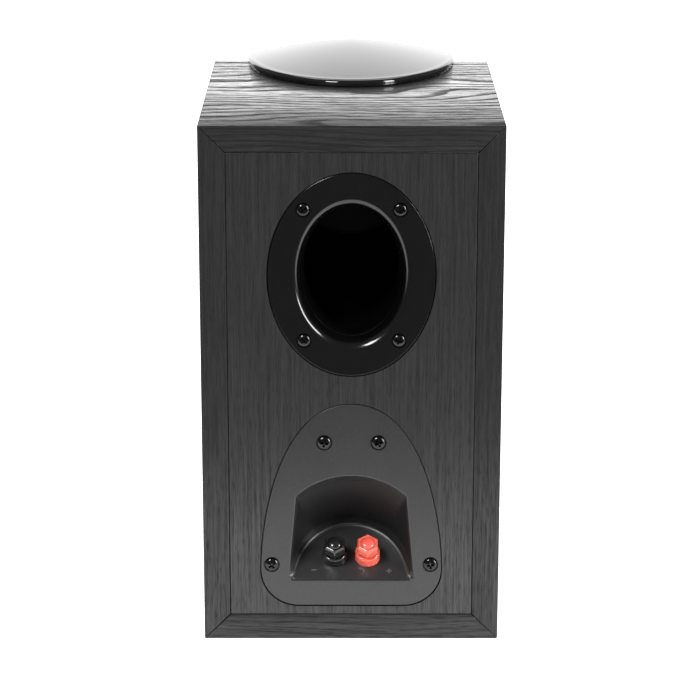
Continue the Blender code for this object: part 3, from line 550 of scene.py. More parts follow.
def pan_head_screw(radius, long, shank=0.0015):
    """A screw at the origin, its head up, its cross cut by slicing the head and sinking the faces."""
    dome = arc((0, 0.10 * radius), (radius, 0.46 * radius), 90, 0, 9)
    thread = []
    pitch = 0.0012
    for i in range(int((long - 0.004) / pitch)):
        thread += [(shank, -0.001 - pitch * i), (shank * 0.72, -0.001 - pitch * (i + 0.55))]
    shape = turned(dome + [(radius, 0.0), (shank, 0.0)] + thread + [(0, -long)], steps=32)
    width, length = 0.15 * radius, 0.56 * radius
    for normal in ((1, 0, 0), (0, 1, 0)):
        for offset in (width, -width, length, -length):
            top = [face for face in shape.faces if face.calc_center_median().z > 0.2 * radius]
            near = list(dict.fromkeys(item for face in top for item in (face, *face.edges, *face.verts)))
            bmesh.ops.bisect_plane(shape, geom=near, dist=1e-7, plane_co=[offset * n for n in normal],
                                   plane_no=normal)
    cross = []
    for face in shape.faces:
        spot = face.calc_center_median()
        small, large = sorted((abs(spot.x), abs(spot.y)))
        if spot.z > 0.25 * radius and small < width and large < length:
            cross.append(face)
    sunk = bmesh.ops.extrude_face_region(shape, geom=cross)["geom"]
    bmesh.ops.delete(shape, geom=[face for face in cross if face.is_valid], context="FACES")
    floor = [item for item in sunk if isinstance(item, bmesh.types.BMVert)]
    bmesh.ops.scale(shape, vec=(0.62, 0.62, 0.3), verts=floor)
    bmesh.ops.translate(shape, vec=(0, 0, -0.05 * radius), verts=floor)
    bmesh.ops.recalc_face_normals(shape, faces=shape.faces)
    return shape


# Black plating over bright steel, with small brighter scuffs.
screw_finish = grained("black_zinc", (0.020, 0.055), (0.13, 0.10), 0.000012, scale=900, detail=3.0, grit=0.6,
                       Metallic=1.0)
DRIVEN = {"port_screw": (12, 34, -20, 41), "cup_screw": (28, -9, 6, 37), "woofer_screw": (5, 50, 22, -14),
          "tweeter_screw": (31, -3)}
HEADS = {"port_screw": 0.0037, "cup_screw": 0.0040, "woofer_screw": 0.0030, "tweeter_screw": 0.0025}
for kind, turns in DRIVEN.items():
    for number, turn in enumerate(turns, 1):
        node = f"{kind}_{number}"
        low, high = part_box(node)
        out, face = (OUT_BACK, high.y) if middle(node).y > 0 else (OUT_FRONT, low.y)
        side = 1 if middle(node).y > 0 else -1
        radius = HEADS[kind]
        screw = pan_head_screw(radius, high.y - low.y - 0.55 * radius)
        spot = Matrix.Translation((middle(node).x, face - side * 0.56 * radius, middle(node).z))
        spun = out @ Matrix.Rotation(radians(turn), 4, "Z")
        bmesh.ops.transform(screw, matrix=spot @ spun, verts=screw.verts)
        finished(screw, node.replace("screw", "pan_head"), screw_finish, node, crease=35)


# ---- Terminal cup -------------------------------------------------------------------------------
# One moulding in finely textured black: an egg-shaped flange with four dished screw holes, and a
# recess whose arched wall runs down to a sloping shelf, with a rounded fillet where they meet.
def textured_black(name):
    """Moulded plastic with a fine spark-eroded texture, duller on the recess wall, where its colour is also
    darkened as painted shade.
    """
    made, shader, place = new_finish(name, Specular_IOR_Level=0.25, Coat_IOR=1.55, Coat_Roughness=0.38)
    grain = noise(place, 1500, detail=3.0, rough=0.6)
    clouds = noise(place, 40, detail=2.0)
    depth = place.axis("Y")
    off_floor = depth * sin(SHELF_SLOPE) + (place.axis("Z") - SHELF_FRONT) * cos(SHELF_SLOPE)
    off_floor = off_floor - BACK_Y * sin(SHELF_SLOPE)
    # Painted shade on the recess wall, away from the shelf and the lip: its colour is darkened there, and its
    # coat is thinned so it shines less.
    recess_shade_and_dullness = ramp(off_floor, 0.0035, 0.0080) * (1.0 - ramp(depth, FLANGE_Y - 0.0040, FLANGE_Y - 0.0008))
    tone = ramp(grain, 0.3, 0.7) * 0.6 + clouds * 0.4
    feed(shader, Base_Color=blended(tone * (1.0 - recess_shade_and_dullness * 0.8), 0.0035, 0.0140),
         Roughness=0.40 + grain * 0.12, Coat_Weight=(0.70 + tone * 0.12) * (1.0 - recess_shade_and_dullness * 0.92),
         Normal=bumped(grain, 0.00006, 0.8))
    return made


SHELF_SLOPE = radians(36.5)
SHELF_FRONT = 0.0365
SHELF_HALF = 0.0335
SHELF_LONG = 0.0387
RECESS_TOP = 0.0996
RECESS_SHOULDER = (0.0314, 0.0872)
RECESS_FOOT = (0.0357, 0.0388)
FOOT_R = 0.0024
LIP = 0.0008
FILLET = 0.0022
AROUND = 120
ALONG_FOOT = 24


def on_shelf(across, along, above=0.0):
    """A point on the recess floor: across X, up the slope, and off the floor at right angles."""
    return Vector((across, BACK_Y - along * cos(SHELF_SLOPE) + above * sin(SHELF_SLOPE),
                   SHELF_FRONT + along * sin(SHELF_SLOPE) + above * cos(SHELF_SLOPE)))


def evenly(points, count):
    """Points at even steps along a line of points."""
    line = [Vector(point) for point in points]
    far = [0.0]
    for a, b in zip(line, line[1:]):
        far.append(far[-1] + (b - a).length)
    spaced = []
    leg = 0
    for i in range(count + 1):
        want = far[-1] * i / count
        while leg < len(line) - 2 and far[leg + 1] < want:
            leg += 1
        part = (want - far[leg]) / (far[leg + 1] - far[leg])
        spaced.append(line[leg].lerp(line[leg + 1], min(part, 1.0)))
    return spaced


def mouth(grow):
    """The recess mouth's arch in X and Z, from one foot over the roof to the other."""
    rise = RECESS_TOP - RECESS_SHOULDER[1]
    roof_r = (RECESS_SHOULDER[0] ** 2 + rise ** 2) / (2 * rise)
    roof_z = RECESS_TOP - roof_r
    foot = arc((RECESS_FOOT[0] - FOOT_R, RECESS_FOOT[1]), (FOOT_R + grow,) * 2, -90, 0, 8)
    shoulder = (RECESS_SHOULDER[0] + grow, RECESS_SHOULDER[1] + grow * 0.5)
    roof = [(shoulder[0] * (1 - i / 24), 0) for i in range(25)]
    roof = [(x, roof_z + ((roof_r + grow) ** 2 - x ** 2) ** 0.5) for x, _ in roof]
    half = foot + [(shoulder[0], roof[0][1])] + roof[1:]
    return evenly(half + [(-x, z) for x, z in reversed(half[:-1])], AROUND)


def whole(arch):
    """An arch closed along its foot."""
    return arch + [arch[-1].lerp(arch[0], i / ALONG_FOOT) for i in range(1, ALONG_FOOT)]


def floor_line(half, long, above=0.0):
    turns = [pi * i / AROUND for i in range(AROUND + 1)]
    return [on_shelf(half * cos(t), long * sin(t), above) for t in turns]


rolled = []
for t in (0, 30, 60, 90):
    depth = FLANGE_Y - LIP * (1 - cos(radians(t)))
    rolled.append([Vector((p.x, depth, p.y)) for p in mouth(LIP * (1 - sin(radians(t))))])
lip_arch = rolled[-1]
floor_arch = floor_line(SHELF_HALF, SHELF_LONG)
normal_up = Vector((0, sin(SHELF_SLOPE), cos(SHELF_SLOPE)))
wall_loops = []
for part in (0.12, 0.3, 0.5, 0.7, 0.85):
    wall_loops.append([p.lerp(q, part) for p, q in zip(lip_arch, floor_arch)])
fillet_loops = []
centre_line = on_shelf(0, SHELF_LONG * 0.3)
for turn in range(9):
    part = turn / 8
    loop = []
    for p, q in zip(lip_arch, floor_arch):
        up_wall = (p - q).normalized() * min(FILLET, (p - q).length * 0.8)
        inward = centre_line - q
        inward = (inward - normal_up * inward.dot(normal_up)).normalized() * FILLET
        loop.append(q + up_wall * (1 - part) ** 2 + inward * part ** 2)
    fillet_loops.append(loop)
cup_loops = [whole(loop) for loop in rolled + wall_loops + fillet_loops]
cup = bmesh.new()
lofted(cup, cup_loops)
filled(cup, [cup_loops[-1]], tuple(normal_up))
cup_rim = [upright(egg(), FLANGE_BACK)]
cup_rim += rounded_edge(lambda inset: egg(-inset), EASE, FLANGE_Y, 1, EDGE_TURNS)
lofted(cup, cup_rim)
cup_spots = screw_spots("cup_screw", 4)
DISH_R = 0.0046
DISH_DEEP = 0.0009
flats = filled(cup, [cup_rim[-1], cup_loops[0]] + holes(cup_spots, DISH_R, FLANGE_Y), BACKWARD)
sunk_holes(cup, cup_spots, DISH_R, 0.0003, DISH_DEEP)
outer = [Vector((p.x, FLANGE_BACK, p.y)) for p in mouth(WALL)]
inner = floor_line(SHELF_HALF + WALL, SHELF_LONG + WALL, -WALL)
shell = [whole([p.lerp(q, part) for p, q in zip(outer, inner)]) for part in (0.0, 0.5, 1.0)]
lofted(cup, shell)
filled(cup, [shell[-1]], tuple(-normal_up))
filled(cup, [cup_rim[0], shell[0]] + holes(cup_spots, SHANK_HOLE, FLANGE_BACK), FORWARD)
textured = textured_black("textured_moulding")
finished(welded(cup, flats), "cup_moulding", textured, "terminal_cup", crease=40)


# ---- Binding posts ------------------------------------------------------------------------------
# Each post is a nickel-plated stud through the shelf, held by a moulded collar, with a hexagonal cap
# that screws down on a washer. The caps and collars are glossy, one pair red and one pair black.
joints = {joint["name"]: joint for joint in frame["joints"]}
cap_axis = Vector(joints["red_cap_turn"]["axis"])
stand = Vector((0, 0, 1)).rotation_difference(cap_axis).to_matrix().to_4x4()


def carved(body, tool, operation):
    """One closed shape carved by another."""
    pair = []
    for shape in (body, tool):
        mesh = bpy.data.meshes.new("carving")
        shape.to_mesh(mesh)
        shape.free()
        pair.append(bpy.data.objects.new("carving", mesh))
        bpy.context.scene.collection.objects.link(pair[-1])
    boolean = pair[0].modifiers.new("carve", "BOOLEAN")
    boolean.operation = operation
    boolean.object = pair[1]
    graph = bpy.context.evaluated_depsgraph_get()
    result = bmesh.new()
    result.from_mesh(pair[0].evaluated_get(graph).to_mesh())
    for done in pair:
        bpy.data.objects.remove(done)
    return result


def glossy_post(name, deep, bright, **constants):
    """Glossy moulded plastic with faint flow clouds under its skin."""
    made, shader, place = new_finish(name, **constants)
    clouds = noise(place, 350, detail=2.0)
    feed(shader, Base_Color=blended(clouds, deep, bright), Roughness=0.10 + clouds * 0.05,
         Normal=bumped(noise(place, 900, detail=1.0), 0.000012))
    return made


nickel = grained("nickel_plate", ((0.62, 0.59, 0.52), (0.80, 0.77, 0.70)), (0.2, 0.15), 0.00001,
                 (300, 300, 3000), detail=3.0, Metallic=1.0)
COLLAR_R = 0.0071
COLLAR = 0.0062
STUD_R = 0.0020
CAP_FOOT = 0.0079
CAP_TOP = 0.0155
CAP_ACROSS = 0.0116
SLACK = 0.0003
BORE_R = STUD_R + SLACK
BORE_TOP = CAP_FOOT + 0.0056
WASHER_R = 0.0045
WASHER_FOOT, WASHER_TOP = 0.0065, 0.0074
THREAD = 0.001
post_finish = {
    "red": glossy_post("post_red", (0.64, 0.085, 0.055), (0.76, 0.140, 0.095), Subsurface_Weight=0.15,
                       Subsurface_Scale=0.002, Subsurface_Radius=(1.0, 0.25, 0.15), Specular_IOR_Level=0.65),
    "black": glossy_post("post_black", (0.008, 0.008, 0.008), (0.012, 0.012, 0.012), Specular_IOR_Level=0.6)}
HEX_TURNS = [radians(60 * side + part) for side in range(6) for part in (0, 3, 12, 22, 30, 38, 48, 57)]
HEX_LOOPS = ((0.95, CAP_FOOT), (1.0, CAP_FOOT + 0.0004), (1.0, CAP_TOP - 0.0024), (0.985, CAP_TOP - 0.0021),
             (0.86, CAP_TOP - 0.0012), (0.82, CAP_TOP - 0.0011))
BOSS_LOOPS = ((0.0044, 0.0012), (0.0041, 0.0017), (0.0038, 0.0014), (0.0035, 0.0009), (0.0029, 0.0005),
              (0.0021, 0.0002), (0.0011, 0.00005), (0, 0))     # radius, and depth under the cap's top


def hexagon(size, height):
    """The cap's hexagon, with a corner up the slope and each corner just softened."""
    corner = CAP_ACROSS / 2 / cos(pi / 6) * 0.975
    loop = []
    for t in HEX_TURNS:
        reach_out = min(CAP_ACROSS / 2 / cos((t % (pi / 3)) - pi / 6), corner) * size
        loop.append(Vector((reach_out * sin(t), reach_out * cos(t), height)))
    return loop


def round_loop(radius, height):
    return [Vector((radius * sin(t), radius * cos(t), height)) for t in HEX_TURNS]


for colour in ("red", "black"):
    place = Matrix.Translation(joints[f"{colour}_cap_turn"]["pos_m"]) @ stand
    shoulder = arc((COLLAR_R - 0.0010, COLLAR - 0.0010), (0.0010, 0.0010), 90, 0, 6)
    collar = turned([(BORE_R, COLLAR)] + shoulder + [(COLLAR_R, 0.0014), (COLLAR_R + 0.0003, 0.0006),
                    (COLLAR_R + 0.0003, SLACK), (BORE_R, SLACK)], place, ring=True)
    finished(collar, f"{colour}_collar", post_finish[colour], f"{colour}_post_collar")
    stud_profile = [(0, 0.0132), (STUD_R - 0.0004, 0.0132), (STUD_R, 0.0128)]
    for i in range(12):
        stud_profile += [(STUD_R, -0.0004 - THREAD * i), (STUD_R - 0.0003, -0.0009 - THREAD * i)]
    stud = turned(stud_profile + [(0, -0.0130)], place, steps=32)
    finished(stud, f"{colour}_stud", nickel, f"{colour}_post_stud")
    washer = turned([(BORE_R, WASHER_TOP), (WASHER_R - 0.0003, WASHER_TOP), (WASHER_R, WASHER_TOP - 0.0003),
                     (WASHER_R, WASHER_FOOT), (BORE_R, WASHER_FOOT)], place, ring=True, steps=64)
    finished(washer, f"{colour}_washer", nickel, f"{colour}_post_washer")
    cap = bmesh.new()
    lofted(cap, [hexagon(size, height) for size, height in HEX_LOOPS]
           + [round_loop(radius, CAP_TOP - deep) for radius, deep in BOSS_LOOPS])
    lofted(cap, [hexagon(0.95, CAP_FOOT), round_loop(BORE_R, CAP_FOOT), round_loop(BORE_R, BORE_TOP),
                 round_loop(0, BORE_TOP)])
    welded(cap)
    bmesh.ops.transform(cap, matrix=place, verts=cap.verts)
    finished(cap, f"{colour}_cap_nut", post_finish[colour], f"{colour}_post_cap", crease=24)

# Moulded polarity marks on the shelf, a bar and a cross, raised and in a lighter grey that is a painted
# highlight.
MARK = 0.0031
MARK_W = 0.00050
MARK_UP = 0.00018
# Painted highlight: the marks' lighter grey stands for the light caught on the raised bars.
mark_highlight_grey = grained("mark_painted_highlight", (0.06, 0.13), (0.3, 0.2), 0, scale=2500, Specular_IOR_Level=0.5)
lean = Matrix.Rotation(-SHELF_SLOPE, 4, "X")
MARKS = (("minus_mark", 0.0215, 0.0066, (0,)), ("plus_mark", -0.0219, 0.0060, (0, 90)))
for name, across, along, bars in MARKS:
    mark = bmesh.new()
    for turn in bars:
        size = Matrix.Diagonal((MARK, MARK_W, MARK_UP * (2 + 0.1 * turn / 90), 1))
        bmesh.ops.create_cube(mark, size=1, matrix=Matrix.Rotation(radians(turn), 4, "Z") @ size)
    bmesh.ops.transform(mark, matrix=Matrix.Translation(on_shelf(across, along)) @ lean, verts=mark.verts)
    finished(mark, name, mark_highlight_grey, slot="textured_black", body="cabinet")


# ---- Moulded front and top cap ------------------------------------------------------------------
# The front is one gloss black moulding, its top edge rising in an arch. The cap behind the arch is
# moulded with it: a low dome with a rounded rim, drawn out towards the back.
FASCIA_INSET = 0.0015
ARCH_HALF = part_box("top_cap")[1].x
ARCH_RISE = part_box("top_cap")[1].z - HEIGHT
ARCH_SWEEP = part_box("top_cap")[1].y - FRONT_Y
ARCH_RIM = 0.004
FASCIA_FRONT_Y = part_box("front_fascia")[0].y
FASCIA_BACK_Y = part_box("front_fascia")[1].y
FASCIA_EASE = 0.0022


def arch_height(part):
    """Height over the cabinet's top at a part, 0 to 1, of the arch's half width."""
    return ARCH_RISE - (ARCH_RISE - ARCH_RIM) * abs(part) ** 1.7


def front_outline(inset, corner=0.004, steps=48):
    """The front's outline: a rounded rectangle whose top edge rises in the arch."""
    side, low, high = HALF - inset, inset, HEIGHT - inset
    drop = inset - FASCIA_INSET
    half = ARCH_HALF - drop
    crown = [(half * part, HEIGHT + arch_height(part) - drop)
             for part in [0.985 * (1 - 2 * i / steps) for i in range(steps + 1)]]
    foot = [(half, HEIGHT + ARCH_RIM / 2 - drop), (half, high)]
    return (arc((side - corner, low + corner), (corner, corner), -90, 0, 8)
            + arc((side - corner, high - corner), (corner, corner), 0, 90, 8)
            + foot[::-1] + crown + [(-x, z) for x, z in foot]
            + arc((-side + corner, high - corner), (corner, corner), 90, 180, 8)
            + arc((-side + corner, low + corner), (corner, corner), 180, 270, 8))


def gloss_black(name):
    """Deep gloss black with the slightest ripple and a few specks of dust."""
    made, shader, place = new_finish(name, IOR=1.5, Coat_IOR=1.5)
    ripple = noise(place, 90, detail=1.0)
    dust = ramp(noise(place, 1600, detail=2.0), 0.68, 0.75)
    feed(shader, Base_Color=blended(dust, 0.006, 0.012), Roughness=0.035 + dust * 0.05 + ripple * 0.02,
         Normal=bumped(ripple, 0.000010))
    return made


WOOFER = middle("woofer_cone")
TWEETER = middle("tweeter_dome")
WOOFER_FRAME = reach("woofer_basket").x
TWEETER_FACE = reach("tweeter_faceplate").x
gloss = gloss_black("gloss_moulding")
fascia = bmesh.new()
edges_in = [upright(front_outline(FASCIA_INSET), FASCIA_BACK_Y)]
edges_in += rounded_edge(lambda inset: front_outline(FASCIA_INSET + inset), FASCIA_EASE, FASCIA_FRONT_Y, -1,
                         (0, 15, 30, 45, 60, 75, 90))
lofted(fascia, edges_in)
woofer_seat = circle(0, WOOFER.z, WOOFER_FRAME + 0.0003, 128)
tweeter_seat = circle(0, TWEETER.z, TWEETER_FACE + 0.0003, 128)
seats = [woofer_seat, tweeter_seat]
peg_spots = [(-0.072, 0.022), (0.072, 0.022), (-0.072, 0.281), (0.072, 0.281)]
PEG_R = 0.0026
PEG_HOLE_END = FASCIA_BACK_Y - 0.0012
peg_holes = [circle(x, z, PEG_R + 0.0004) for x, z in peg_spots]
flats = filled(fascia, [edges_in[-1]] + each_upright(seats + peg_holes, FASCIA_FRONT_Y), FORWARD)
filled(fascia, [edges_in[0]] + each_upright(seats, FASCIA_BACK_Y), BACKWARD)
for seat in seats:
    lofted(fascia, [upright(seat, FASCIA_FRONT_Y), upright(seat, FASCIA_BACK_Y)])
for hole in peg_holes:
    lofted(fascia, [upright(hole, FASCIA_FRONT_Y), upright(hole, PEG_HOLE_END)])
    filled(fascia, [upright(hole, PEG_HOLE_END)], FORWARD)
finished(welded(fascia, flats), "gloss_front", gloss, "front_fascia")

crown = [(ARCH_HALF * part, arch_height(part)) for part in [0.955 * i / 28 for i in range(29)]]
shoulder_r = 0.0022
rim_centre = (ARCH_HALF - shoulder_r, crown[-1][1] - shoulder_r * 0.9)
rim_profile = arc(rim_centre, (shoulder_r, shoulder_r), 62, 0, 8)
cap_profile = crown + rim_profile + [(ARCH_HALF, 0.0012), (ARCH_HALF - 0.0004, SLACK), (0, SLACK)]
cap = turned(cap_profile, steps=160, turn=180)
bmesh.ops.scale(cap, vec=(1, ARCH_SWEEP / ARCH_HALF, 1), verts=cap.verts)
open_edges = [edge for edge in cap.edges if edge.is_boundary]
bmesh.ops.triangle_fill(cap, edges=open_edges, use_beauty=True, normal=FORWARD)
bmesh.ops.translate(cap, vec=(0, FRONT_Y, HEIGHT), verts=cap.verts)
bmesh.ops.recalc_face_normals(cap, faces=cap.faces)
finished(cap, "gloss_cap", gloss, "top_cap")


# ---- Woofer -------------------------------------------------------------------------------------
# A 130 mm unit: a pressed steel basket with six windows, a coated pulp cone with a rubber half-roll
# surround, an amber spider, a copper voice coil, and a ferrite ring magnet between two steel plates.
def coated_pulp(name):
    """Pressed pulp with its short fibres showing under a thin black coating."""
    made, shader, place = new_finish(name, Specular_IOR_Level=0.5)
    fibres = noise(drawn_out(place, 900, 500, 500), detail=5.0, rough=0.7)
    clouds = noise(place, 90, detail=3.0)
    feed(shader, Base_Color=blended(ramp(fibres, 0.3, 0.75) * 0.7 + clouds * 0.3, 0.016, 0.050),
         Roughness=0.42 + fibres * 0.2, Normal=bumped(fibres, 0.00012))
    return made


def wound_copper(name, pitch):
    """Enamelled wire laid turn by turn: a ridge for each turn, with the pitch in turns a metre."""
    made, shader, place = new_finish(name, Metallic=1.0)
    turns = (place.axis("Z") + place.axis("Y")) * pitch
    ridge = turns.maths("PINGPONG", turns, 0.5)
    stain = noise(place, 250, detail=3.0)
    feed(shader, Base_Color=blended(stain, (0.50, 0.17, 0.07), (0.80, 0.36, 0.17)),
         Roughness=0.22 + stain * 0.15, Normal=bumped(ridge, 0.0002))
    return made


STEEL = {"stretch": (180, 900, 180), "detail": 3.0, "Metallic": 1.0}
zinc = grained("zinc_plate", (0.42, 0.68), (0.3, 0.15), 0.00001, **STEEL)
black_steel = grained("black_pressed_steel", (0.03, 0.07), (0.35, 0.15), 0.00001, **STEEL)
ferrite = grained("ferrite_stone", (0.03, 0.07), (0.5, 0.2), 0.00005, scale=900, detail=5.0, grit=0.7,
                  Specular_IOR_Level=0.5)
pulp = coated_pulp("coated_pulp")
rubber = grained("surround_rubber", (0.012, 0.024), (0.48, 0.18), 0.00002, scale=300, detail=4.0,
                 Specular_IOR_Level=0.45)
spider_weave = grained("spider_weave", ((0.42, 0.22, 0.05), (0.66, 0.42, 0.14)), (0.6, 0.2), 0.0001,
                       (1800, 900, 1800), Specular_IOR_Level=0.3)
woofer_place = Matrix.Translation((0, FRONT_Y, WOOFER.z)) @ OUT_FRONT

bowl = turned([(0.0566, 0.0040), (0.0645, 0.0041), (0.0658, 0.0038), (0.0665, 0.0030), (0.0665, SLACK),
               (0.0584, SLACK), (0.0580, -0.0040), (0.0462, -0.0260), (0.0462, -0.0320), (0.0390, -0.0380),
               (0.0250, -0.0380), (0.0250, -0.0360), (0.0375, -0.0360), (0.0395, -0.0300), (0.0437, -0.0300),
               (0.0437, -0.0260), (0.0566, -0.0035)], ring=True)
WINDOW_SIZE = (0.030, 0.036, 0.0165)
WINDOW_AT = (0.055, 0, -0.0142)
windows = bmesh.new()
for i in range(6):
    hole = bmesh.ops.create_cube(windows, size=1)["verts"]
    bmesh.ops.scale(windows, vec=WINDOW_SIZE, verts=hole)
    bmesh.ops.translate(windows, vec=WINDOW_AT, verts=hole)
    bmesh.ops.rotate(windows, matrix=Matrix.Rotation(radians(60 * i), 3, "Z"), verts=hole)
bowl = carved(bowl, windows, "DIFFERENCE")
bmesh.ops.transform(bowl, matrix=woofer_place, verts=bowl.verts)
finished(bowl, "pressed_basket", black_steel, "woofer_basket")

ROLL_OUT, ROLL_IN = 0.0560, 0.0490
ROLL = (ROLL_OUT - ROLL_IN) / 2
RUBBER_T = 0.0007
roll_middle = (ROLL_OUT + ROLL_IN) / 2
roll_top = arc((roll_middle, 0.0050), (ROLL, ROLL), 180, 0, 16)
roll_under = arc((roll_middle, 0.0043), (ROLL - RUBBER_T,) * 2, 0, 180, 16)
surround = turned([(0.0462, 0.0047), (0.0464, 0.0050)] + roll_top
                  + [(0.0588, 0.0050), (0.0594, 0.0047), (0.0594, 0.0043)]
                  + roll_under + [(0.0462, 0.0043)], woofer_place, ring=True)
finished(surround, "rubber_roll", rubber, "woofer_surround", crease=50)

CONE_T = 0.0006
slope = bezier((0.0464, 0.0034), (0.0400, -0.0020), (0.0300, -0.0110), (0.0173, -0.0184), 20)
RIBBED = (0.022, 0.042)      # the radii between which the cone is ribbed
slope = [(r, z + (0.00022 * sin(2 * pi * (r - 0.020) / 0.0065) if RIBBED[0] < r < RIBBED[1] else 0))
         for r, z in slope]
inner_slope = [(r - 0.0003, z + CONE_T) for r, z in reversed(slope)]
cone = turned([(0.0462, 0.0040), (0.0488, 0.0040), (0.0488, 0.0035)] + slope
              + [(0.0173, -0.0190), (0.0168, -0.0186)] + inner_slope, woofer_place, ring=True)
finished(cone, "pulp_cone", pulp, "woofer_cone", crease=50)
front_arc = arc((0, -0.0445), (0.0345, 0.0345), 90, 56.6, 14)
back_arc = arc((0, -0.0445), (0.0340, 0.0340), 56.6, 90, 14)
dust_cap = turned([(0, front_arc[0][1])] + front_arc[1:] + back_arc[:-1] + [(0, back_arc[-1][1])],
                  woofer_place, steps=64)
finished(dust_cap, "pulp_dust_cap", pulp, "woofer_dust_cap", crease=50)
former = turned([(0.0158, -0.0172), (0.0163, -0.0172), (0.0163, -0.047), (0.0158, -0.047)],
                woofer_place, ring=True)
finished(former, "wound_coil", wound_copper("voice_coil_wire", 3000), "woofer_voice_coil")
waves = [(0.0200 + 0.0004 * i, -0.0290 + 0.0009 * sin(pi * i / 4.5)) for i in range(46)]
spider_top = [(0.0167, -0.0290)] + waves + [(0.0390, -0.0290), (0.0434, -0.0290)]
spider_under = [(radius, height - 0.0005) for radius, height in reversed(spider_top)]
spider = turned(spider_top + spider_under, woofer_place, ring=True)
finished(spider, "amber_spider", spider_weave, "woofer_spider", crease=60)


def ring_plate(name, finish, node, place, inner, outer, high, low, eased):
    """A turned ring with eased outer corners."""
    shape = turned([(inner, high), (outer - eased, high), (outer, high - eased), (outer, low + eased),
                    (outer - eased, low), (inner, low)], place, ring=True)
    finished(shape, name, finish, node)


ring_plate("front_pole_plate", zinc, "woofer_top_plate", woofer_place,
           0.0170, 0.0360, -0.0383, -0.0433, 0.0003)
ring_plate("ferrite_ring", ferrite, "woofer_magnet", woofer_place, 0.0220, 0.0420, -0.0436, -0.0586, 0.0008)
yoke = turned([(0.0040, -0.0383), (0.0149, -0.0383), (0.0152, -0.0386), (0.0152, -0.0589),
               (0.0367, -0.0589), (0.0370, -0.0592), (0.0370, -0.0636), (0.0367, -0.0639),
               (0.0043, -0.0639), (0.0040, -0.0636)], woofer_place, ring=True)
finished(yoke, "steel_yoke", zinc, "woofer_yoke")


# ---- Tweeter ------------------------------------------------------------------------------------
# A 25 mm coated silk dome in a moulded waveguide faceplate, with its own small ferrite motor.
silk = grained("coated_silk", (0.012, 0.030), (0.38, 0.15), 0.00004, scale=4500, detail=1.0,
               Specular_IOR_Level=0.5)
tweeter_place = Matrix.Translation((0, FRONT_Y, TWEETER.z)) @ OUT_FRONT
throat = arc((0.0420, -0.0020), (0.0262, 0.0100), 180, 90, 20)
tweeter_rim = arc((TWEETER_FACE - 0.0006, 0.0074), (0.0006, 0.0006), 90, 0, 4)
plate = turned(throat + tweeter_rim + [(TWEETER_FACE, SLACK), (0.0365, SLACK), (0.0340, -0.0040),
                                       (0.0220, -0.0090), (0.0158, -0.0090)], ring=True)
counterbores = bmesh.new()
for side in (-1, 1):
    for segments, radius, depth, height in ((32, 0.0029, 0.006, 0.0085), (24, SHANK_HOLE, 0.020, 0.0020)):
        bmesh.ops.create_cone(counterbores, cap_ends=True, segments=segments, radius1=radius, radius2=radius,
                              depth=depth, matrix=Matrix.Translation((side * 0.0405, 0, height)))
plate = carved(plate, counterbores, "DIFFERENCE")
bmesh.ops.transform(plate, matrix=tweeter_place, verts=plate.verts)
finished(plate, "waveguide", satin, "tweeter_faceplate")
half_roll = turned([(0.0131, -0.0088), (0.0135, -0.0082), (0.0140, -0.0079), (0.0146, -0.0080),
                    (0.0151, -0.0084), (0.0156, -0.0093), (0.0190, -0.0093), (0.0190, -0.0098),
                    (0.0153, -0.0098), (0.0147, -0.0089), (0.0140, -0.0084), (0.0134, -0.0093)],
                   tweeter_place, ring=True)
finished(half_roll, "silk_roll", silk, "tweeter_surround", crease=60)
dome_out = arc((0, -0.0193), (0.0163, 0.0163), 90, 40, 14)
dome_in = arc((0, -0.0193), (0.0159, 0.0159), 40, 90, 14)
dome = turned([(0, dome_out[0][1])] + dome_out[1:] + [(0.0127, -0.0128), (0.0123, -0.0128)] + dome_in[:-1]
              + [(0, dome_in[-1][1])], tweeter_place, steps=64)
finished(dome, "silk_dome", silk, "tweeter_dome", crease=50)
ring_plate("tweeter_pole_plate", black_steel, "tweeter_top_plate", tweeter_place,
           0.0134, 0.0300, -0.0101, -0.0131, 0.0003)
ring_plate("tweeter_ferrite", ferrite, "tweeter_magnet", tweeter_place,
           0.0160, 0.0340, -0.0134, -0.0234, 0.0006)
tweeter_yoke = turned([(0.0030, -0.0104), (0.0115, -0.0104), (0.0117, -0.0106), (0.0117, -0.0237),
                       (0.0307, -0.0237), (0.0310, -0.0240), (0.0310, -0.0274), (0.0307, -0.0277),
                       (0.0030, -0.0277)], tweeter_place, ring=True)
finished(tweeter_yoke, "tweeter_back_plate", black_steel, "tweeter_yoke")


# ---- Crossover and cables -----------------------------------------------------------------------
# A green circuit board on the bottom board, with two air-cored coils, a film capacitor and a cement
# resistor on it. Jacketed two-core cables run from it to the cup and to both drivers.
def circuit_board(name):
    made, shader, place = new_finish(name, Specular_IOR_Level=0.5)
    cells = place.node("TexVoronoi", {"distance": "CHEBYCHEV"}, {"Vector": place, "Scale": 140.0})
    tracks = ramp(cells, 0.28, 0.32)
    feed(shader, Base_Color=blended(tracks, (0.010, 0.12, 0.05), (0.030, 0.22, 0.09)),
         Roughness=0.3 + tracks * 0.1, Normal=bumped(tracks, 0.00005))
    return made


film = grained("film_sleeve", ((0.66, 0.42, 0.04), (0.85, 0.62, 0.10)), (0.25, 0.15), 0, (900, 60, 60),
               Specular_IOR_Level=0.5)
cement = grained("cement_case", ((0.62, 0.60, 0.54), (0.86, 0.84, 0.78)), (0.75, 0.2), 0.0001, scale=1400,
                 detail=5.0, grit=0.7, Specular_IOR_Level=0.3)
jacket = grained("cable_jacket", (0.014, 0.028), (0.38, 0.2), 0.00002, scale=500, detail=3.0,
                 Specular_IOR_Level=0.4)
dress(circuit_board("green_board"), "crossover_board")
dress(wound_copper("coil_wire", 1100), "woofer_inductor", "tweeter_inductor")
dress(film, "tweeter_capacitor")
dress(cement, "crossover_resistor")
dress(jacket, "input_cable", "woofer_cable", "tweeter_cable")


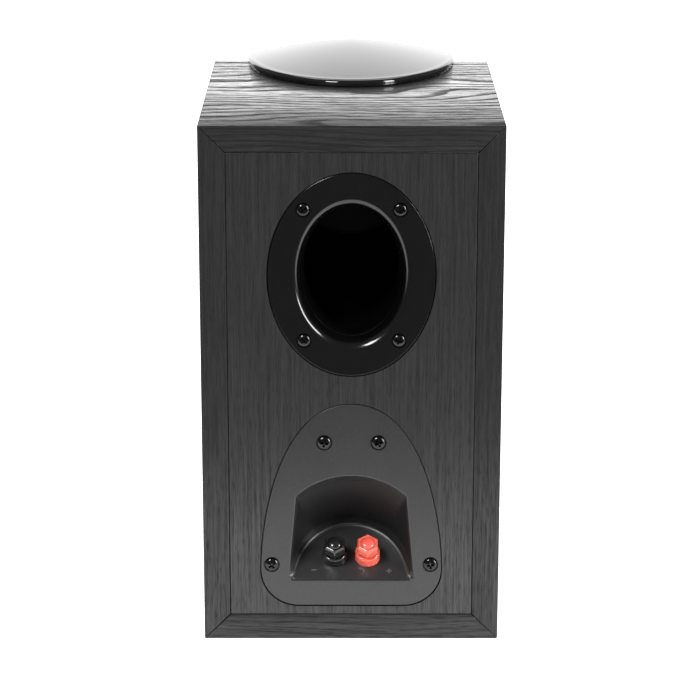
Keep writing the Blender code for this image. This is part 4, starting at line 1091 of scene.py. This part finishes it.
# ---- Grille -------------------------------------------------------------------------------------
# A moulded frame with two windows and four pegs, and a black knitted cloth stretched over its front
# and sides and glued behind its edge.
GRILLE_FRONT_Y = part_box("grille_cloth")[0].y
CLOTH_BACK_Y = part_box("grille_cloth")[1].y
CLOTH_T = 0.0008
CLOTH_INSET = HALF - reach("grille_cloth").x
FRAME_INSET = CLOTH_INSET + CLOTH_T + SLACK
RAIL = 0.009
frame_front = GRILLE_FRONT_Y + CLOTH_T + SLACK
frame_back = FASCIA_FRONT_Y - SLACK
PEG_LONG = 0.0062
window_x = HALF - FRAME_INSET - RAIL
frame_windows = [rounded(-window_x, low, window_x, high, 0.010)
                 for low, high in ((0.018, 0.169), (0.179, 0.287))]
peg_feet = [circle(x, z, PEG_R) for x, z in peg_spots]
rails = bmesh.new()
outer = [upright(front_outline(FRAME_INSET), frame_back)]
outer += rounded_edge(lambda inset: front_outline(FRAME_INSET + inset), 0.0015, frame_front, -1,
                      (0, 30, 60, 90))
lofted(rails, outer)
flats = filled(rails, [outer[-1]] + each_upright(frame_windows, frame_front), FORWARD)
filled(rails, [outer[0]] + each_upright(frame_windows + peg_feet, frame_back), BACKWARD)
for window in frame_windows:
    lofted(rails, [upright(window, frame_front), upright(window, frame_back)])
PEG_TAPER = 0.0008
peg_end = frame_back + PEG_LONG
for (x, z), foot in zip(peg_spots, peg_feet):
    tip = upright(circle(x, z, PEG_R - PEG_TAPER), peg_end)
    lofted(rails, [upright(foot, frame_back), upright(foot, peg_end - PEG_TAPER), tip])
    filled(rails, [tip], BACKWARD)
finished(welded(rails, flats), "grille_moulding", satin, "grille_frame")


def grille_knit(name):
    """Black acoustic knit: rows of small loops with fine holes between them."""
    made, shader, place = new_finish(name, Specular_IOR_Level=0.15, Sheen_Weight=0.25, Sheen_Roughness=0.5)
    x, y, z = (place.axis(name) for name in "XYZ")
    column = ((x + y * 0.9) * 4200).maths("SINE", (x + y * 0.9) * 4200)
    row = ((z + y * 0.9) * 4200).maths("SINE", (z + y * 0.9) * 4200)
    loops = column * row * 0.5 + 0.5
    tension = noise(place, 60, detail=3.0)
    feed(shader, Base_Color=blended(loops * (0.75 + tension * 0.5), 0.004, 0.022),
         Roughness=0.85 + loops * 0.1, Normal=bumped(loops, 0.00025))
    return made


TURN_R = 0.0028
cloth = bmesh.new()
cloth_outline = front_outline(CLOTH_INSET)
stretched = each_upright([cloth_outline], CLOTH_BACK_Y)
stretched += each_upright([cloth_outline], (CLOTH_BACK_Y + GRILLE_FRONT_Y) / 2)
stretched += rounded_edge(lambda inset: front_outline(CLOTH_INSET + inset), TURN_R, GRILLE_FRONT_Y, -1,
                          (0, 18, 36, 54, 72, 90))
lofted(cloth, stretched)
flats = filled(cloth, [stretched[-1]], FORWARD)
welded(cloth, flats)
knit = finished(cloth, "stretched_cloth", grille_knit("grille_knit"), "grille_cloth", crease=60)
wall = knit.modifiers.new("thickness", "SOLIDIFY")
wall.thickness = CLOTH_T
wall.offset = -1


# ---- Studio -------------------------------------------------------------------------------------
# A white table, a bright wall of light in front of the speaker, one light overhead, and one to each
# side of its back.
def lit_table(name):
    """A white acrylic table, lit from below."""
    made, shader, place = new_finish(name, Specular_IOR_Level=0.1, Emission_Strength=1.1)
    soft = noise(place, 3, detail=1.0)
    feed(shader, Base_Color=blended(soft, 0.90, 0.92), Roughness=0.8 + soft * 0.1,
         Emission_Color=blended(soft, 0.98, 1.0))
    return made


def light_panel(name, place, aim, size, strength):
    """A soft light that shines from its place to a point, of a strength for each square metre."""
    lamp = bpy.data.lights.new(name, "AREA")
    lamp.shape = "RECTANGLE"
    lamp.size, lamp.size_y = size
    lamp.energy = strength * size[0] * size[1] * pi
    holder = bpy.data.objects.new(name, lamp)
    holder.location = place
    holder.rotation_euler = (Vector(aim) - Vector(place)).to_track_quat("-Z", "Y").to_euler()
    bpy.context.scene.collection.objects.link(holder)


table = bmesh.new()
bmesh.ops.create_grid(table, x_segments=8, y_segments=8, size=3.0)
bmesh.ops.translate(table, vec=(0, -2.66, -0.0002), verts=table.verts)
table_mesh = bpy.data.meshes.new("table")
table.to_mesh(table_mesh)
table.free()
table_mesh.materials.append(lit_table("table_white"))
table_top = bpy.data.objects.new("table", table_mesh)
bpy.context.scene.collection.objects.link(table_top)

light_panel("back_wall_light", (0, -2.6, 0.95), (0, 0, 0.2), (3.4, 1.5), 2.2)
light_panel("overhead_light", (0, -0.9, 2.0), (0, 0, 0.2), (1.8, 1.0), 4.5)
light_panel("left_light", (0.80, 1.20, 1.35), (0, 0.1, 0.15), (0.50, 0.50), 34.0)
light_panel("right_light", (-1.36, 0.85, 0.60), (0, 0.1, 0.15), (0.36, 1.00), 26.0)

world = bpy.data.worlds.new("room")
bpy.context.scene.world = world
world.use_nodes = True
room = Wire(world.node_tree)
seen = room.node("LightPath")
background = world.node_tree.nodes["Background"]
world.node_tree.links.new(blended(seen, 0.20, 1.0).socket, background.inputs["Color"])

camera = bpy.data.cameras.new("camera")
camera.sensor_width = 36
camera.lens = 132.147
viewpoint = bpy.data.objects.new("camera", camera)
viewpoint.location = (0.003956, 1.495562, 0.584039)
viewpoint.rotation_euler = tuple(radians(angle) for angle in (73.54696, -0.07229, 179.89167))
bpy.context.scene.collection.objects.link(viewpoint)
bpy.context.scene.camera = viewpoint
bpy.context.scene.view_settings.view_transform = "Standard"
